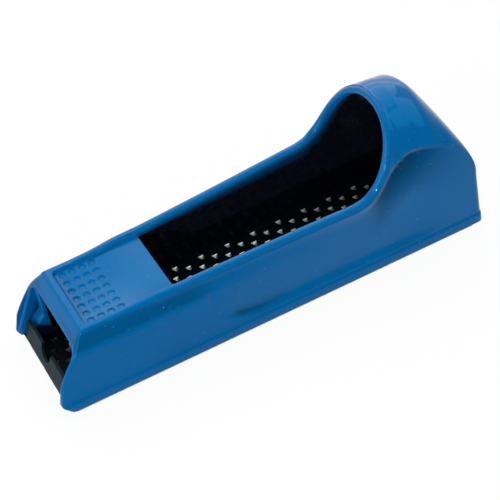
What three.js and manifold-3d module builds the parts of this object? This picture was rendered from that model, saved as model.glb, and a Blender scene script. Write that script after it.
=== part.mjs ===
// Block rasp plane: a cast body with a palm hood, and a perforated rasp blade that a screw pulls tight.
// Lengths are in millimetres. Stations count from the toe's foremost point towards the heel.
import * as THREE from "three";
import { mergeVertices } from "three/addons/utils/BufferGeometryUtils.js";
import Module from "manifold-3d";

const wasm = await Module();
wasm.setup();

// Whole tool: the blade's length and width set the casting's
const bladeLength = 140;
const bladeWidth = 36.8;
const bladeStart = 1.6;
const heelBay = 16.4;
const railWidth = 2.3;
const hoodRise = 28.4;
const clearance = 0.3;
const overrun = 12;

// Casting: toe
const toeHeight = 28;
const toeTopInset = 4.8;
const toeRake = 13.4;
const toeBlend = 45;
const noseHeight = 6.2;
const noseRun = 4.8;
const toePlanRadius = 1.2;
const toeEdgeRadius = 1.2;
const bandHeight = 5.6;
const bandInset = 1.7;
const toeSillDrop = 1.6;
const toeSillDepth = 4;

// Casting: sides and walls
const skirtLift = 0.4;
const skirtBevel = 0.4;
const beadHeight = 3.6;
const beadProud = 0.6;
const wall = 2;
const plateThickness = 3.4;
const ledgeWidth = 0.9;
const ledgeHeight = 1.8;
const flareStart = 25;
const flareOverlap = 7;

// Casting: shallow finger hollow in each side
const gripStart = 54.5;
const gripEdge = 3;
const gripDepth = 1.1;
const gripBorder = 0.9;
const gripLowHeight = 6.4;
const gripFrontHeight = 13;
const gripFrontRun = 20;
const gripCreaseRun = 2.4;
const gripFade = 26;
const gripSetback = 12;
const hoodGripLead = 9;
const hoodGripRun = 18;

// Casting: rim, mouth and hood
const openingStart = 46.4;
const rimStart = 29.5;
const rimRadius = 1.75;
const rimProud = 0.45;
const rimDrop = 0.8;
const rimRise = 2.4;
const rimSink = 1.2;
const mouthRun = 20.3;
const hoodReach = 28.7;
const hoodInset = 0.6;
const shoulderRise = 2;
const hoodWall = 2.6;

// Casting: heel
const heelHeight = 21.8;
const heelLean = 1.5;
const heelPlanRadius = 2.2;
const heelWall = 3;

// Casting: thumb pad
const padStart = 15.6;
const padFrame = 2.6;
const padDepth = 1;
const padCornerRadius = 1.2;
const dimpleStart = 18.4;
const dimpleRadius = 1.3;
const dimpleDepth = 0.7;
const dimplePitchAlong = 3.5;
const dimplePitchAcross = 3.87;
const dimpleColumns = 4;
const dimpleRows = 7;

// Casting: lugs that the blade's front lip hooks over
const lugReach = 2.4;
const lugPostStart = 9.3;
const lugPostDepth = 1.6;
const lugSlopeTop = 11.9;
const lugFootTop = 8.4;

// Blade
const sheet = 1;
const toothDrop = 1.6;
const bend = 1.4;
const frontLipHeight = 10.3;
const frontLipLean = 2.6;
const frontLipInset = 2.6;
const rearLipInset = 3.4;
const notchWidth = 7.2;
const notchDepth = 4.2;
const edgeNotchWidth = 2.6;
const edgeNotchPitch = 12;
const edgeNotchShift = 1.3;
const toothPitch = 10.1;
const toothRowShift = 4.16;
const toothRowPitch = 2.24;
const toothPhase = 5.6;
const toothSideMargin = 1.5;
const holeRadius = 1.2;
const toothWidth = 1.9;
const toothReach = 0.7;
const bladeEndMargin = 4;

// Tension screw, washer, nut and hook
const screwHeight = 13.5;
const screwRadius = 2.4;
const screwSpare = 6;
const headRadius = 4.4;
const headThickness = 2.4;
const slotWidth = 1.2;
const slotDepth = 1;
const washerRadius = 5.4;
const washerThickness = 1;
const recessSlack = 0.8;
const bossWall = 2.6;
const bossDepth = 3;
const nutWidth = 8;
const nutThickness = 3;
const hookWidth = 24;
const hookSheet = 1.5;
const hookTravel = 3.1;
const hookMargin = 1.5;
const fingerHeight = 4.4;

// Unitless proportions, chosen by hand
const rakePower = 1.42;
const flarePower = 1.4;
const hoodBackShares = [
  [0, 1], [0.2, 0.998], [0.355, 0.97], [0.477, 0.915], [0.634, 0.715], [0.812, 0.455], [0.955, 0.2], [1, 0],
];
const shoulderShares = [[0.2, 0.63], [0.355, 0.69], [0.477, 0.73], [0.634, 0.83], [0.812, 0.86], [1, 0.93]];
const archPowerShares = [[0, 2.2], [0.2, 1.9], [0.355, 1.8], [0.634, 2], [0.812, 4], [1, 8]];
const mouthFootShares = [0.47, 0.02];
const mouthTopShares = [0.69, 0.43];
const bandGripShare = 0.45;
const hoodLapShare = 0.7;
const archSteps = 8;
const ringSides = 24;
const rimSides = 9;
const rimSteps = 110;
const holeSides = 6;
const dimpleSides = 8;

// Heights and places that follow
const sheetTop = toothDrop + sheet;
const bandBottom = toeHeight - bandHeight;
const overallLength = bladeStart + bladeLength + heelBay;
const bodyWidth = bladeWidth + 2 * (clearance + railWidth);
const toeTopWidth = bodyWidth - 2 * toeTopInset;
const bandWidth = bodyWidth - 2 * bandInset;
const hoodWidth = bodyWidth - 2 * hoodInset;
const padWidth = toeTopWidth - 2 * padFrame;
const plateUnderside = toeHeight - plateThickness;
const toeSillHeight = plateUnderside - toeSillDrop;
const rimToeHeight = toeHeight - rimDrop;
const rimHeelHeight = rimToeHeight + rimRise;
const hoodHeight = toeHeight + hoodRise;
const shoulderHeight = rimHeelHeight + shoulderRise;
const recessRadius = washerRadius + recessSlack;
const hookGap = hookTravel + clearance;
const hookTop = screwHeight + nutWidth / 2 + hookMargin;
const hoodCrown = overallLength - hoodReach;
const mouthFoot = hoodCrown - mouthRun;
const flareEnd = mouthFoot + flareOverlap;
const gripEnd = overallLength - gripSetback;
const hoodGripStart = mouthFoot - hoodGripLead;
const frontLipWidth = bladeWidth - 2 * frontLipInset;
const rearLipWidth = bladeWidth - 2 * rearLipInset;
const toothRows = 1 + Math.floor((bladeWidth - 2 * toothSideMargin) / toothRowPitch);
const beadTop = skirtLift + beadHeight;
const bayHalf = bladeWidth / 2 + clearance;
const bayTop = sheetTop + clearance;
const bladeEnd = bladeStart + bladeLength;
const lugFootStart = bladeStart + frontLipLean + sheet + clearance;
const hookRoof = screwHeight - nutWidth / 2 - clearance;
const screwTip = bladeEnd + hookGap - clearance - nutThickness - screwSpare;
const rearLipHeight = hookRoof - hookSheet - clearance;
const screwSeat = overallLength - washerThickness - headThickness - 3 * clearance;

const clamp = (value) => Math.min(1, Math.max(0, value));
const lerp = (from, to, share) => from + (to - from) * share;
const along = (value, from, to) => clamp((value - from) / (to - from));
const ease = (share) => share * share * (3 - 2 * share);

// Smooth curve through knots of place and value
function through(knots, place) {
  const last = knots.length - 1;
  if (place <= knots[0][0]) return knots[0][1];
  if (place >= knots[last][0]) return knots[last][1];
  const next = knots.findIndex((knot) => knot[0] >= place);
  const [x0, y0] = knots[next - 1];
  const [x1, y1] = knots[next];
  const slope = (a, b) => (knots[b][1] - knots[a][1]) / (knots[b][0] - knots[a][0]);
  const m0 = next > 1 ? slope(next - 2, next) : slope(next - 1, next);
  const m1 = next < last ? slope(next - 1, next + 1) : slope(next - 1, next);
  const span = x1 - x0;
  const t = (place - x0) / span;
  return (1 + 2 * t) * (1 - t) ** 2 * y0 + t * (1 - t) ** 2 * span * m0
    + t * t * (3 - 2 * t) * y1 + t * t * (t - 1) * span * m1;
}

// Solids
function solidOf(geometry) {
  const bare = geometry.index ? geometry.toNonIndexed() : geometry;
  for (const name of Object.keys(bare.attributes)) {
    if (name !== "position") bare.deleteAttribute(name);
  }
  const merged = mergeVertices(bare);
  return new wasm.Manifold(new wasm.Mesh({
    numProp: 3,
    vertProperties: new Float32Array(merged.attributes.position.array),
    triVerts: new Uint32Array(merged.index.array),
  }));
}

function joined(solids) {
  return solids.reduce((whole, solid) => whole.add(solid));
}

function without(solid, cutters) {
  return cutters.reduce((rest, cutter) => rest.subtract(cutter), solid);
}

function block(x0, x1, y0, y1, z0, z1) {
  const geometry = new THREE.BoxGeometry(x1 - x0, y1 - y0, z1 - z0);
  geometry.translate((x0 + x1) / 2, (y0 + y1) / 2, (z0 + z1) / 2);
  return solidOf(geometry);
}

// Round bar along X
function bar(x0, x1, y, z, radius, sides = ringSides) {
  const geometry = new THREE.CylinderGeometry(radius, radius, x1 - x0, sides);
  geometry.rotateZ(Math.PI / 2);
  geometry.translate((x0 + x1) / 2, y, z);
  return solidOf(geometry);
}

// Side outline of X and Z points, extruded across Y
function sidePlate(points, y0, y1) {
  const shape = new THREE.Shape(points.map(([x, z]) => new THREE.Vector2(x, z)));
  const geometry = new THREE.ExtrudeGeometry(shape, { depth: y1 - y0, bevelEnabled: false });
  geometry.rotateX(Math.PI / 2);
  geometry.translate(0, y1, 0);
  return solidOf(geometry);
}

// Closed skin over rings of equal length, with level strips across each end ring
function loft(rings) {
  const count = rings[0].length;
  const corners = [];
  const face = (a, b, c) => corners.push(...a, ...b, ...c);
  for (let i = 0; i + 1 < rings.length; i += 1) {
    for (let j = 0; j < count; j += 1) {
      const k = (j + 1) % count;
      face(rings[i][j], rings[i + 1][k], rings[i + 1][j]);
      face(rings[i][j], rings[i][k], rings[i + 1][k]);
    }
  }
  const cap = (ring, place) => {
    for (let j = 0; j + 1 < (count + 1) / 2; j += 1) {
      place(ring[j], ring[j + 1], ring[count - 1 - j]);
      if (j + 1 < count - 2 - j) place(ring[j + 1], ring[count - 2 - j], ring[count - 1 - j]);
    }
  };
  cap(rings[0], (a, b, c) => face(a, c, b));
  cap(rings[rings.length - 1], face);
  const geometry = new THREE.BufferGeometry();
  geometry.setAttribute("position", new THREE.Float32BufferAttribute(corners, 3));
  return solidOf(geometry);
}

// Whole ring at a station from its half outline of Y and Z points, bottom to top
function ringAt(station, half, placeX) {
  const right = half.map(([y, z]) => [placeX(station, z), y, z]);
  const left = half.filter(([y]) => y > 0).map(([y, z]) => [placeX(station, z), -y, z]).reverse();
  return [...right, ...left];
}

// Casting outline
function toeProfile(height) {
  if (height < noseHeight) {
    const share = clamp((noseHeight - height) / (noseHeight - skirtLift));
    return noseRun * (1 - Math.sqrt(1 - share * share));
  }
  return toeRake * ((height - noseHeight) / (toeHeight - noseHeight)) ** rakePower;
}

function castingX(station, height) {
  const lean = heelLean * along(height, 0, heelHeight) * along(station, hoodCrown, overallLength) ** 2;
  return station + toeProfile(height) * (1 - along(station, 0, toeBlend)) ** 2 - lean;
}

function planInset(station) {
  const corner = (radius, reach) => radius - Math.sqrt(radius * radius - reach * reach);
  const atToe = corner(toePlanRadius, toePlanRadius * (1 - along(station, 0, toePlanRadius)));
  const heelCorner = overallLength - heelPlanRadius;
  const atHeel = corner(heelPlanRadius, heelPlanRadius * along(station, heelCorner, overallLength));
  return atToe + atHeel;
}

function topHalf(station) {
  return lerp(toeTopWidth / 2, hoodWidth / 2, along(station, flareStart, flareEnd) ** flarePower);
}

function bandHalf(station) {
  return lerp(bandWidth / 2, hoodWidth / 2, along(station, flareStart, flareEnd) ** flarePower);
}

const hoodShare = (station) => ease(along(station, openingStart, mouthFoot));
const backShare = (station) => along(station, hoodCrown, overallLength);

function crownHeight(station) {
  if (station > hoodCrown) return lerp(heelHeight, hoodHeight, through(hoodBackShares, backShare(station)));
  return lerp(toeHeight, hoodHeight, hoodShare(station));
}

function shoulderAt(station) {
  const knots = [[0, shoulderHeight / hoodHeight], ...shoulderShares];
  if (station > hoodCrown) return crownHeight(station) * through(knots, backShare(station));
  return lerp(toeHeight - toeEdgeRadius, shoulderHeight, hoodShare(station));
}

// Points over the top from the shoulder to the middle: a rounded edge at the toe, an arch at the hood
function archPoints(station, half, shoulder, crown) {
  const share = hoodShare(station);
  const power = 2 / through(archPowerShares, backShare(station));
  const radius = toeEdgeRadius;
  const points = [];
  for (let step = 1; step <= archSteps; step += 1) {
    const angle = (Math.PI / 2) * (step / archSteps);
    const archAngle = (Math.PI / 2) * (step / (archSteps + 1));
    const edge = [half - radius + radius * Math.cos(angle), crown - radius + radius * Math.sin(angle)];
    const arch = [
      half * Math.cos(archAngle) ** power,
      shoulder + (crown - shoulder) * Math.sin(archAngle) ** power,
    ];
    points.push([lerp(edge[0], arch[0], share), lerp(edge[1], arch[1], share)]);
  }
  points.push([0, crown]);
  return points;
}

// Depth of the finger hollow above its low border, in the band, and under the hood's crease
function gripDepths(station) {
  const body = ease(along(station, gripStart, gripStart + gripEdge));
  const low = gripDepth * body * (1 - ease(along(station, gripEnd - gripFade, gripEnd)));
  const hoodRise = ease(along(station, hoodGripStart, hoodGripStart + hoodGripRun));
  const high = gripDepth * hoodRise * (1 - ease(along(station, gripEnd - gripFade / 2, gripEnd)));
  return { low, band: bandGripShare * (low + high), high };
}

function outerHalf(station) {
  const inset = planInset(station);
  const base = bodyWidth / 2 - inset;
  const foot = base - beadProud;
  const top = topHalf(station) - inset;
  const crown = crownHeight(station);
  const shoulder = shoulderAt(station);
  const band = Math.min(bandBottom, shoulder - 2 * gripCreaseRun);
  const footTop = beadTop + beadProud;
  const frontShare = (1 - along(station, gripStart, gripStart + gripFrontRun)) ** 2;
  const border = lerp(gripLowHeight, gripFrontHeight, frontShare);
  const bandEdge = bandHalf(station) - inset;
  const slope = (height) => lerp(foot, bandEdge, along(height, footTop, band));
  const depth = gripDepths(station);
  const crease = shoulder - gripCreaseRun;
  const middle = (border + gripBorder + band) / 2;
  const nose = Math.min(noseHeight, (footTop + border - gripBorder) / 2);
  return [
    [base - skirtBevel, skirtLift],
    [base, skirtLift + skirtBevel],
    [base, beadTop],
    [foot, footTop],
    [slope(nose), nose],
    [slope(border - gripBorder), border - gripBorder],
    [slope(border + gripBorder) - depth.low, border + gripBorder],
    [slope(middle) - (depth.low + depth.band) / 2, middle],
    [bandEdge - depth.band, band],
    [lerp(bandEdge, top, along(crease, band, shoulder)) - depth.high, crease],
    [top, shoulder],
    ...archPoints(station, top, shoulder, crown),
  ];
}

function stations(from, to, step) {
  const count = Math.max(1, Math.round((to - from) / step));
  return Array.from({ length: count }, (_, i) => from + ((to - from) * i) / count);
}

function outerStations() {
  const heelCorner = overallLength - heelPlanRadius;
  return [
    ...stations(0, toePlanRadius, toePlanRadius / 4),
    ...stations(toePlanRadius, gripStart, (gripStart - toePlanRadius) / 9),
    ...stations(gripStart, gripStart + gripEdge, gripEdge / 2),
    ...stations(gripStart + gripEdge, mouthFoot, (mouthFoot - gripStart - gripEdge) / 8),
    ...stations(mouthFoot, hoodCrown, (hoodCrown - mouthFoot) / 7),
    ...stations(hoodCrown, heelCorner, (heelCorner - hoodCrown) / 14),
    ...stations(heelCorner, overallLength, heelPlanRadius / 4),
    overallLength,
  ];
}

function outerSolid() {
  return loft(outerStations().map((station) => ringAt(station, outerHalf(station), castingX)));
}

// Hollow under the casting, with the blade's bay and its ledges at the bottom
function innerEdge(station, height) {
  const share = along(height, bandBottom - wall / 2, toeHeight - toeEdgeRadius);
  return lerp(bandHalf(station), topHalf(station), share) - wall;
}

function innerHalf(station, shoulder, arch) {
  const band = Math.min(bandBottom - wall / 2, shoulder - clearance);
  return [
    [bayHalf, -overrun],
    [bayHalf, bayTop],
    [bayHalf - ledgeWidth, bayTop],
    [bayHalf - ledgeWidth, bayTop + ledgeHeight],
    [innerEdge(station, band), band],
    [innerEdge(station, shoulder), shoulder],
    ...arch,
  ];
}

function toeTunnel() {
  const half = (station) => {
    const roof = station < toeSillDepth ? toeSillHeight : plateUnderside;
    const arch = [[innerEdge(station, roof) - toeEdgeRadius, roof], [0, roof]];
    return innerHalf(station, roof - toeEdgeRadius, arch);
  };
  const places = [
    -overrun,
    toeSillDepth - clearance,
    ...stations(toeSillDepth, openingStart, (openingStart - toeSillDepth) / 5),
    openingStart + clearance,
  ];
  const placeX = (station, height) => castingX(Math.max(0, station), height) + Math.min(0, station);
  return loft(places.map((station) => ringAt(station, half(station), placeX)));
}

function mainHollow() {
  const end = overallLength - heelWall;
  const half = (station) => {
    const lapped = crownHeight(Math.min(overallLength, station + hoodWall)) - hoodWall * hoodLapShare;
    const open = lerp(toeHeight + rimRadius + hoodWall, hoodHeight - hoodWall, hoodShare(station));
    const crown = station > hoodCrown ? lapped : open;
    const shoulder = Math.min(shoulderAt(station), crown - hoodWall);
    return innerHalf(station, shoulder, archPoints(station, topHalf(station) - wall, shoulder, crown));
  };
  const places = [
    ...stations(openingStart, mouthFoot, (mouthFoot - openingStart) / 6),
    ...stations(mouthFoot, hoodCrown, (hoodCrown - mouthFoot) / 4),
    ...stations(hoodCrown, end, (end - hoodCrown) / 9),
    end,
  ];
  return loft(places.map((station) => ringAt(station, half(station), (x) => x)));
}

// Side view of the mouth: from the level rim up to the crown of the hood
const lipApex = hoodHeight - rimRadius;
const mouthCurve = new THREE.CubicBezierCurve(
  new THREE.Vector2(mouthFoot, rimHeelHeight),
  new THREE.Vector2(
    lerp(mouthFoot, hoodCrown, mouthFootShares[0]),
    lerp(rimHeelHeight, lipApex, mouthFootShares[1]),
  ),
  new THREE.Vector2(
    lerp(mouthFoot, hoodCrown, mouthTopShares[0]),
    lerp(rimHeelHeight, lipApex, mouthTopShares[1]),
  ),
  new THREE.Vector2(hoodCrown, lipApex),
);

function mouthStation(height) {
  let low = 0;
  let high = 1;
  for (let pass = 0; pass < 30; pass += 1) {
    const middle = (low + high) / 2;
    if (mouthCurve.getPoint(middle).y < height) low = middle;
    else high = middle;
  }
  return mouthCurve.getPoint((low + high) / 2).x;
}

function rimHeight(station) {
  return lerp(rimToeHeight, rimHeelHeight, along(station, openingStart, mouthFoot));
}

function mouthCutter() {
  const mouth = mouthCurve.getPoints(14).map((point) => [point.x, point.y]);
  const top = hoodHeight + overrun;
  const outline = [[openingStart, rimToeHeight], ...mouth, [hoodCrown, top], [openingStart, top]];
  return sidePlate(outline, -bodyWidth, bodyWidth);
}

// Rounded rim bead: along both sides and up over the mouth
function rimPath() {
  const centreHalf = (station) => topHalf(station) + rimProud - rimRadius;
  const side = [new THREE.Vector3(rimStart, centreHalf(rimStart), rimToeHeight - rimSink)];
  for (const station of stations(rimStart + rimRadius * 2, mouthFoot, (mouthFoot - rimStart) / 9)) {
    side.push(new THREE.Vector3(station, centreHalf(station), rimHeight(station)));
  }
  for (const height of stations(rimHeelHeight, shoulderHeight, (shoulderHeight - rimHeelHeight) / 2)) {
    const station = mouthStation(height);
    side.push(new THREE.Vector3(station, centreHalf(station), height));
  }
  const power = 2 / archPowerShares[0][1];
  const half = hoodWidth / 2 + rimProud - rimRadius;
  for (const angle of stations(0, Math.PI / 2, Math.PI / 14)) {
    const height = lerp(shoulderHeight, lipApex, Math.sin(angle) ** power);
    side.push(new THREE.Vector3(mouthStation(height), half * Math.cos(angle) ** power, height));
  }
  const other = side.map((point) => new THREE.Vector3(point.x, -point.y, point.z)).reverse();
  const apex = new THREE.Vector3(hoodCrown, 0, lipApex);
  return new THREE.CatmullRomCurve3([...side, apex, ...other], false, "centripetal");
}

function rimBead() {
  const shape = new THREE.Shape();
  for (let side = 0; side < rimSides; side += 1) {
    const angle = (2 * Math.PI * side) / rimSides;
    const x = rimRadius * Math.cos(angle);
    const y = rimRadius * Math.sin(angle);
    if (side === 0) shape.moveTo(x, y);
    else shape.lineTo(x, y);
  }
  return solidOf(new THREE.ExtrudeGeometry(shape, { steps: rimSteps, extrudePath: rimPath() }));
}

function padCutters() {
  const half = padWidth / 2;
  const floor = toeHeight - padDepth;
  const shape = new THREE.Shape();
  shape.moveTo(openingStart + clearance, -half);
  shape.lineTo(padStart + padCornerRadius, -half);
  shape.quadraticCurveTo(padStart, -half, padStart, padCornerRadius - half);
  shape.lineTo(padStart, half - padCornerRadius);
  shape.quadraticCurveTo(padStart, half, padStart + padCornerRadius, half);
  shape.lineTo(openingStart + clearance, half);
  const depth = padDepth + overrun;
  const geometry = new THREE.ExtrudeGeometry(shape, { depth, bevelEnabled: false, curveSegments: 4 });
  geometry.translate(0, 0, floor);
  const cutters = [solidOf(geometry)];
  for (let column = 0; column < dimpleColumns; column += 1) {
    for (let row = 0; row < dimpleRows; row += 1) {
      const dimple = new THREE.CylinderGeometry(dimpleRadius, dimpleRadius / 2, dimpleDepth * 2, dimpleSides);
      dimple.rotateX(Math.PI / 2);
      const across = (row - (dimpleRows - 1) / 2) * dimplePitchAcross;
      dimple.translate(dimpleStart + column * dimplePitchAlong, across, floor);
      cutters.push(solidOf(dimple));
    }
  }
  return cutters;
}

function lug(side) {
  const outline = [
    [lugPostStart + lugPostDepth, bayTop],
    [lugPostStart + lugPostDepth, bandBottom + clearance],
    [lugPostStart, bandBottom + clearance],
    [lugPostStart, lugSlopeTop],
    [lugFootStart, lugFootTop],
    [lugFootStart, bayTop],
  ];
  const outer = bodyWidth / 2 - beadProud - wall / 2 - beadProud;
  const inner = toeTopWidth / 2 - wall - lugReach + wall / 2;
  return side > 0 ? sidePlate(outline, inner, outer) : sidePlate(outline, -outer, -inner);
}

function bodyMesh() {
  const boss = bar(
    screwSeat - bossDepth, overallLength - heelWall / 2, 0, screwHeight, recessRadius + bossWall,
  );
  const hollow = joined([toeTunnel(), mainHollow()]);
  const shell = without(outerSolid(), [hollow, mouthCutter()]);
  const lugs = [1, -1].map((side) => lug(side).intersect(outerSolid()));
  const whole = joined([shell, rimBead(), boss, ...lugs]);
  return without(whole, [
    ...padCutters(),
    bar(screwSeat, overallLength + overrun, 0, screwHeight, recessRadius),
    bar(screwSeat - overrun, overallLength, 0, screwHeight, screwRadius + clearance),
  ]);
}

// Blade
function bladeStrip() {
  const rear = bladeEnd;
  const outline = [
    [bladeStart + frontLipLean, frontLipHeight],
    [bladeStart, toothDrop + bend],
    [bladeStart + bend / 2, toothDrop],
    [rear - bend / 2, toothDrop],
    [rear, toothDrop + bend / 2],
    [rear, rearLipHeight],
    [rear - sheet, rearLipHeight],
    [rear - sheet, sheetTop],
    [bladeStart + sheet + bend / 2, sheetTop],
    [bladeStart + sheet, sheetTop + bend / 2],
    [bladeStart + frontLipLean + sheet, frontLipHeight],
  ];
  return sidePlate(outline, -bladeWidth / 2, bladeWidth / 2);
}

function toothPlaces() {
  const places = [];
  const steps = Math.ceil(bladeLength / toothPitch) + toothRows;
  for (let row = 0; row < toothRows; row += 1) {
    const across = ((toothRows - 1) / 2 - row) * toothRowPitch;
    for (let step = -steps; step < steps; step += 1) {
      const station = bladeStart + toothPhase + row * toothRowShift + step * toothPitch;
      const inside = station > bladeStart + bladeEndMargin && station < bladeEnd - bladeEndMargin;
      if (inside) places.push([station, across]);
    }
  }
  return places;
}

// Tooth: a scoop of sheet that runs down and forward from the hole's heel edge
function tooth(station, across) {
  const back = station + holeRadius;
  const outline = [
    [back + sheet, toothDrop + sheet / 4],
    [back, toothDrop + sheet / 2],
    [station - toothReach, 0],
    [station - toothReach + sheet / 3, 0],
  ];
  return sidePlate(outline, across - toothWidth / 2, across + toothWidth / 2);
}

function upright(x, y, z0, z1, radius, sides) {
  const geometry = new THREE.CylinderGeometry(radius, radius, z1 - z0, sides);
  geometry.rotateX(Math.PI / 2);
  geometry.translate(x, y, (z0 + z1) / 2);
  return solidOf(geometry);
}

function bladeMesh() {
  const places = toothPlaces();
  const holes = places.map(([x, y]) => upright(x, y, -overrun, sheetTop + clearance, holeRadius, holeSides));
  const teeth = places.map(([x, y]) => tooth(x, y));
  const lipEnd = bladeStart + frontLipLean + sheet + clearance;
  const side = bladeWidth / 2 + clearance;
  const trims = [1, -1].flatMap((way) => [
    block(
      bladeStart - clearance, lipEnd, Math.min(way * frontLipWidth, way * 2 * side) / 2,
      Math.max(way * frontLipWidth, way * 2 * side) / 2, sheetTop, frontLipHeight + clearance,
    ),
    block(
      bladeEnd - sheet - clearance, bladeEnd + clearance, Math.min(way * rearLipWidth, way * 2 * side) / 2,
      Math.max(way * rearLipWidth, way * 2 * side) / 2, sheetTop, rearLipHeight + clearance,
    ),
  ]);
  const notchRound = notchWidth / 2;
  const notch = joined([
    bar(bladeStart - clearance, lipEnd, 0, frontLipHeight - notchDepth + notchRound, notchRound, ringSides / 2),
    block(
      bladeStart - clearance, lipEnd, -notchRound, notchRound,
      frontLipHeight - notchDepth + notchRound, frontLipHeight + clearance,
    ),
  ]);
  const edgeNotches = [1, 0, -1].map((place) => {
    const y = place * edgeNotchPitch + edgeNotchShift;
    const half = edgeNotchWidth / 2;
    return block(bladeStart - clearance, bladeStart + bend / 3, y - half, y + half, -clearance, toothDrop + bend);
  });
  const strip = without(bladeStrip(), [...trims, notch, ...edgeNotches, joined(holes)]);
  return joined([strip, ...teeth]);
}

// Tension gear
function hookMesh() {
  const web = bladeEnd + hookGap;
  const finger = bladeEnd - sheet - clearance;
  const half = hookWidth / 2;
  const plate = joined([
    block(web, web + hookSheet, -half, half, fingerHeight, hookTop),
    block(finger - hookSheet, web + hookSheet, -half, half, hookRoof - hookSheet, hookRoof),
    block(finger - hookSheet, finger, -half, half, fingerHeight, hookRoof),
  ]);
  return plate.subtract(bar(web - overrun, web + overrun, 0, screwHeight, screwRadius + clearance));
}

function nutMesh() {
  const web = bladeEnd + hookGap - clearance;
  const half = nutWidth / 2;
  const low = screwHeight - half;
  const nut = block(web - nutThickness, web, -half, half, low, low + nutWidth);
  return nut.subtract(bar(web - overrun, web + overrun, 0, screwHeight, screwRadius + clearance));
}

function washerMesh() {
  const start = screwSeat + clearance;
  const disc = bar(start, start + washerThickness, 0, screwHeight, washerRadius);
  return disc.subtract(bar(start - overrun, start + overrun, 0, screwHeight, screwRadius + clearance));
}

function screwMesh() {
  const head = screwSeat + 2 * clearance + washerThickness;
  const whole = joined([
    bar(screwTip, head + headThickness / 2, 0, screwHeight, screwRadius),
    bar(head, head + headThickness, 0, screwHeight, headRadius),
  ]);
  const end = head + headThickness;
  const slot = block(
    end - slotDepth, end + overrun, -slotWidth / 2, slotWidth / 2, screwHeight - headRadius - clearance,
    screwHeight + headRadius + clearance,
  );
  return whole.subtract(slot);
}

// Materials
const paint = new THREE.MeshStandardMaterial({ color: 0x0f67b0, roughness: 0.25, metalness: 0.1 });
const bladeSteel = new THREE.MeshStandardMaterial({ color: 0x2c3d42, roughness: 0.4, metalness: 0.8 });
const zincSteel = new THREE.MeshStandardMaterial({ color: 0xa9adb0, roughness: 0.35, metalness: 0.9 });
const darkSteel = new THREE.MeshStandardMaterial({ color: 0x55595c, roughness: 0.5, metalness: 0.85 });

function meshOf(name, solid, material) {
  const { numProp, vertProperties, triVerts } = solid.getMesh();
  const positions = new Float32Array((vertProperties.length / numProp) * 3);
  for (let i = 0; i < positions.length / 3; i += 1) {
    for (let axis = 0; axis < 3; axis += 1) positions[3 * i + axis] = vertProperties[numProp * i + axis];
  }
  const geometry = new THREE.BufferGeometry();
  geometry.setAttribute("position", new THREE.BufferAttribute(positions, 3));
  geometry.setIndex(new THREE.BufferAttribute(new Uint32Array(triVerts), 1));
  geometry.computeVertexNormals();
  const mesh = new THREE.Mesh(geometry, material);
  mesh.name = name;
  return mesh;
}

const tool = new THREE.Group();
tool.add(
  meshOf("body_casting", bodyMesh(), paint),
  meshOf("rasp_blade", bladeMesh(), bladeSteel),
  meshOf("tension_hook", hookMesh(), darkSteel),
  meshOf("square_nut", nutMesh(), zincSteel),
  meshOf("screw_washer", washerMesh(), zincSteel),
  meshOf("tension_screw", screwMesh(), zincSteel),
);
tool.position.x = -overallLength / 2;
tool.updateMatrixWorld(true);

export default tool;
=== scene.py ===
"""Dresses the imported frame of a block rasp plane: casting, rasp blade and tension gear, in a plain studio."""

from __future__ import annotations

import logging
import math
from dataclasses import dataclass, field
from enum import Enum
from typing import Callable, Sequence

import bpy
from mathutils import Matrix, Vector
from mathutils.kdtree import KDTree

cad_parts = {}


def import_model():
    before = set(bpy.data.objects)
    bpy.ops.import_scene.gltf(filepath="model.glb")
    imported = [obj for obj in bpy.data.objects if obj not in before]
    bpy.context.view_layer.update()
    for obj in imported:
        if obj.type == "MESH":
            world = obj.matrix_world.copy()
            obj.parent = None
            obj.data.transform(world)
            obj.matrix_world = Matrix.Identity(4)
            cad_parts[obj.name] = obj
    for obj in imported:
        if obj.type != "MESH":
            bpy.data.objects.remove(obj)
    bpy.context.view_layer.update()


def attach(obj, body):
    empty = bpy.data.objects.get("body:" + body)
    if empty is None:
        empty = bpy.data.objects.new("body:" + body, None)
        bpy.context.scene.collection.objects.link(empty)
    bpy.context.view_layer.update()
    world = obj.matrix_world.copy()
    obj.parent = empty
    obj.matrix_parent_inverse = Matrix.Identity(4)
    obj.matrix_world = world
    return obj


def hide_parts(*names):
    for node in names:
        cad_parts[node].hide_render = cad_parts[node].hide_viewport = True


LOG = logging.getLogger("rasp_plane")
MM = 0.001
BLACK = (0.0, 0.0, 0.0)
WHITE = (1.0, 1.0, 1.0)

Point = tuple[float, float, float]
Pair = tuple[float, float]
Outline = list[Pair]
Piece = bpy.types.Object
Finish = bpy.types.Material
Socket = bpy.types.NodeSocket
Value = Socket | float | Point


class Cut(Enum):
    """How one closed body works on another."""

    AWAY = "DIFFERENCE"
    ONTO = "UNION"


def clamp(value: float) -> float:
    """Returns value held between 0 and 1."""
    return min(1.0, max(0.0, value))


def lerp(start: float, end: float, share: float) -> float:
    """Returns the value that lies share of the way from start to end."""
    return start + (end - start) * share


def along(value: float, start: float, end: float) -> float:
    """Returns how far value lies from start to end, between 0 and 1."""
    return clamp((value - start) / (end - start))


def ease(share: float) -> float:
    """Returns share with a soft start and end."""
    return share * share * (3 - 2 * share)


def swell(value: float, start: float, end: float) -> float:
    """Returns how far value lies from start to end, with a soft start and end."""
    return ease(along(value, start, end))


def sag(radius: float, away: float) -> float:
    """Returns how far a round falls back at a distance from its middle."""
    return radius - math.sqrt(max(0.0, radius**2 - away**2))


def stops(start: float, end: float, count: int) -> list[float]:
    """Returns count evenly spaced values from start, without end."""
    return [start + (end - start) * i / count for i in range(count)]


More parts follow.
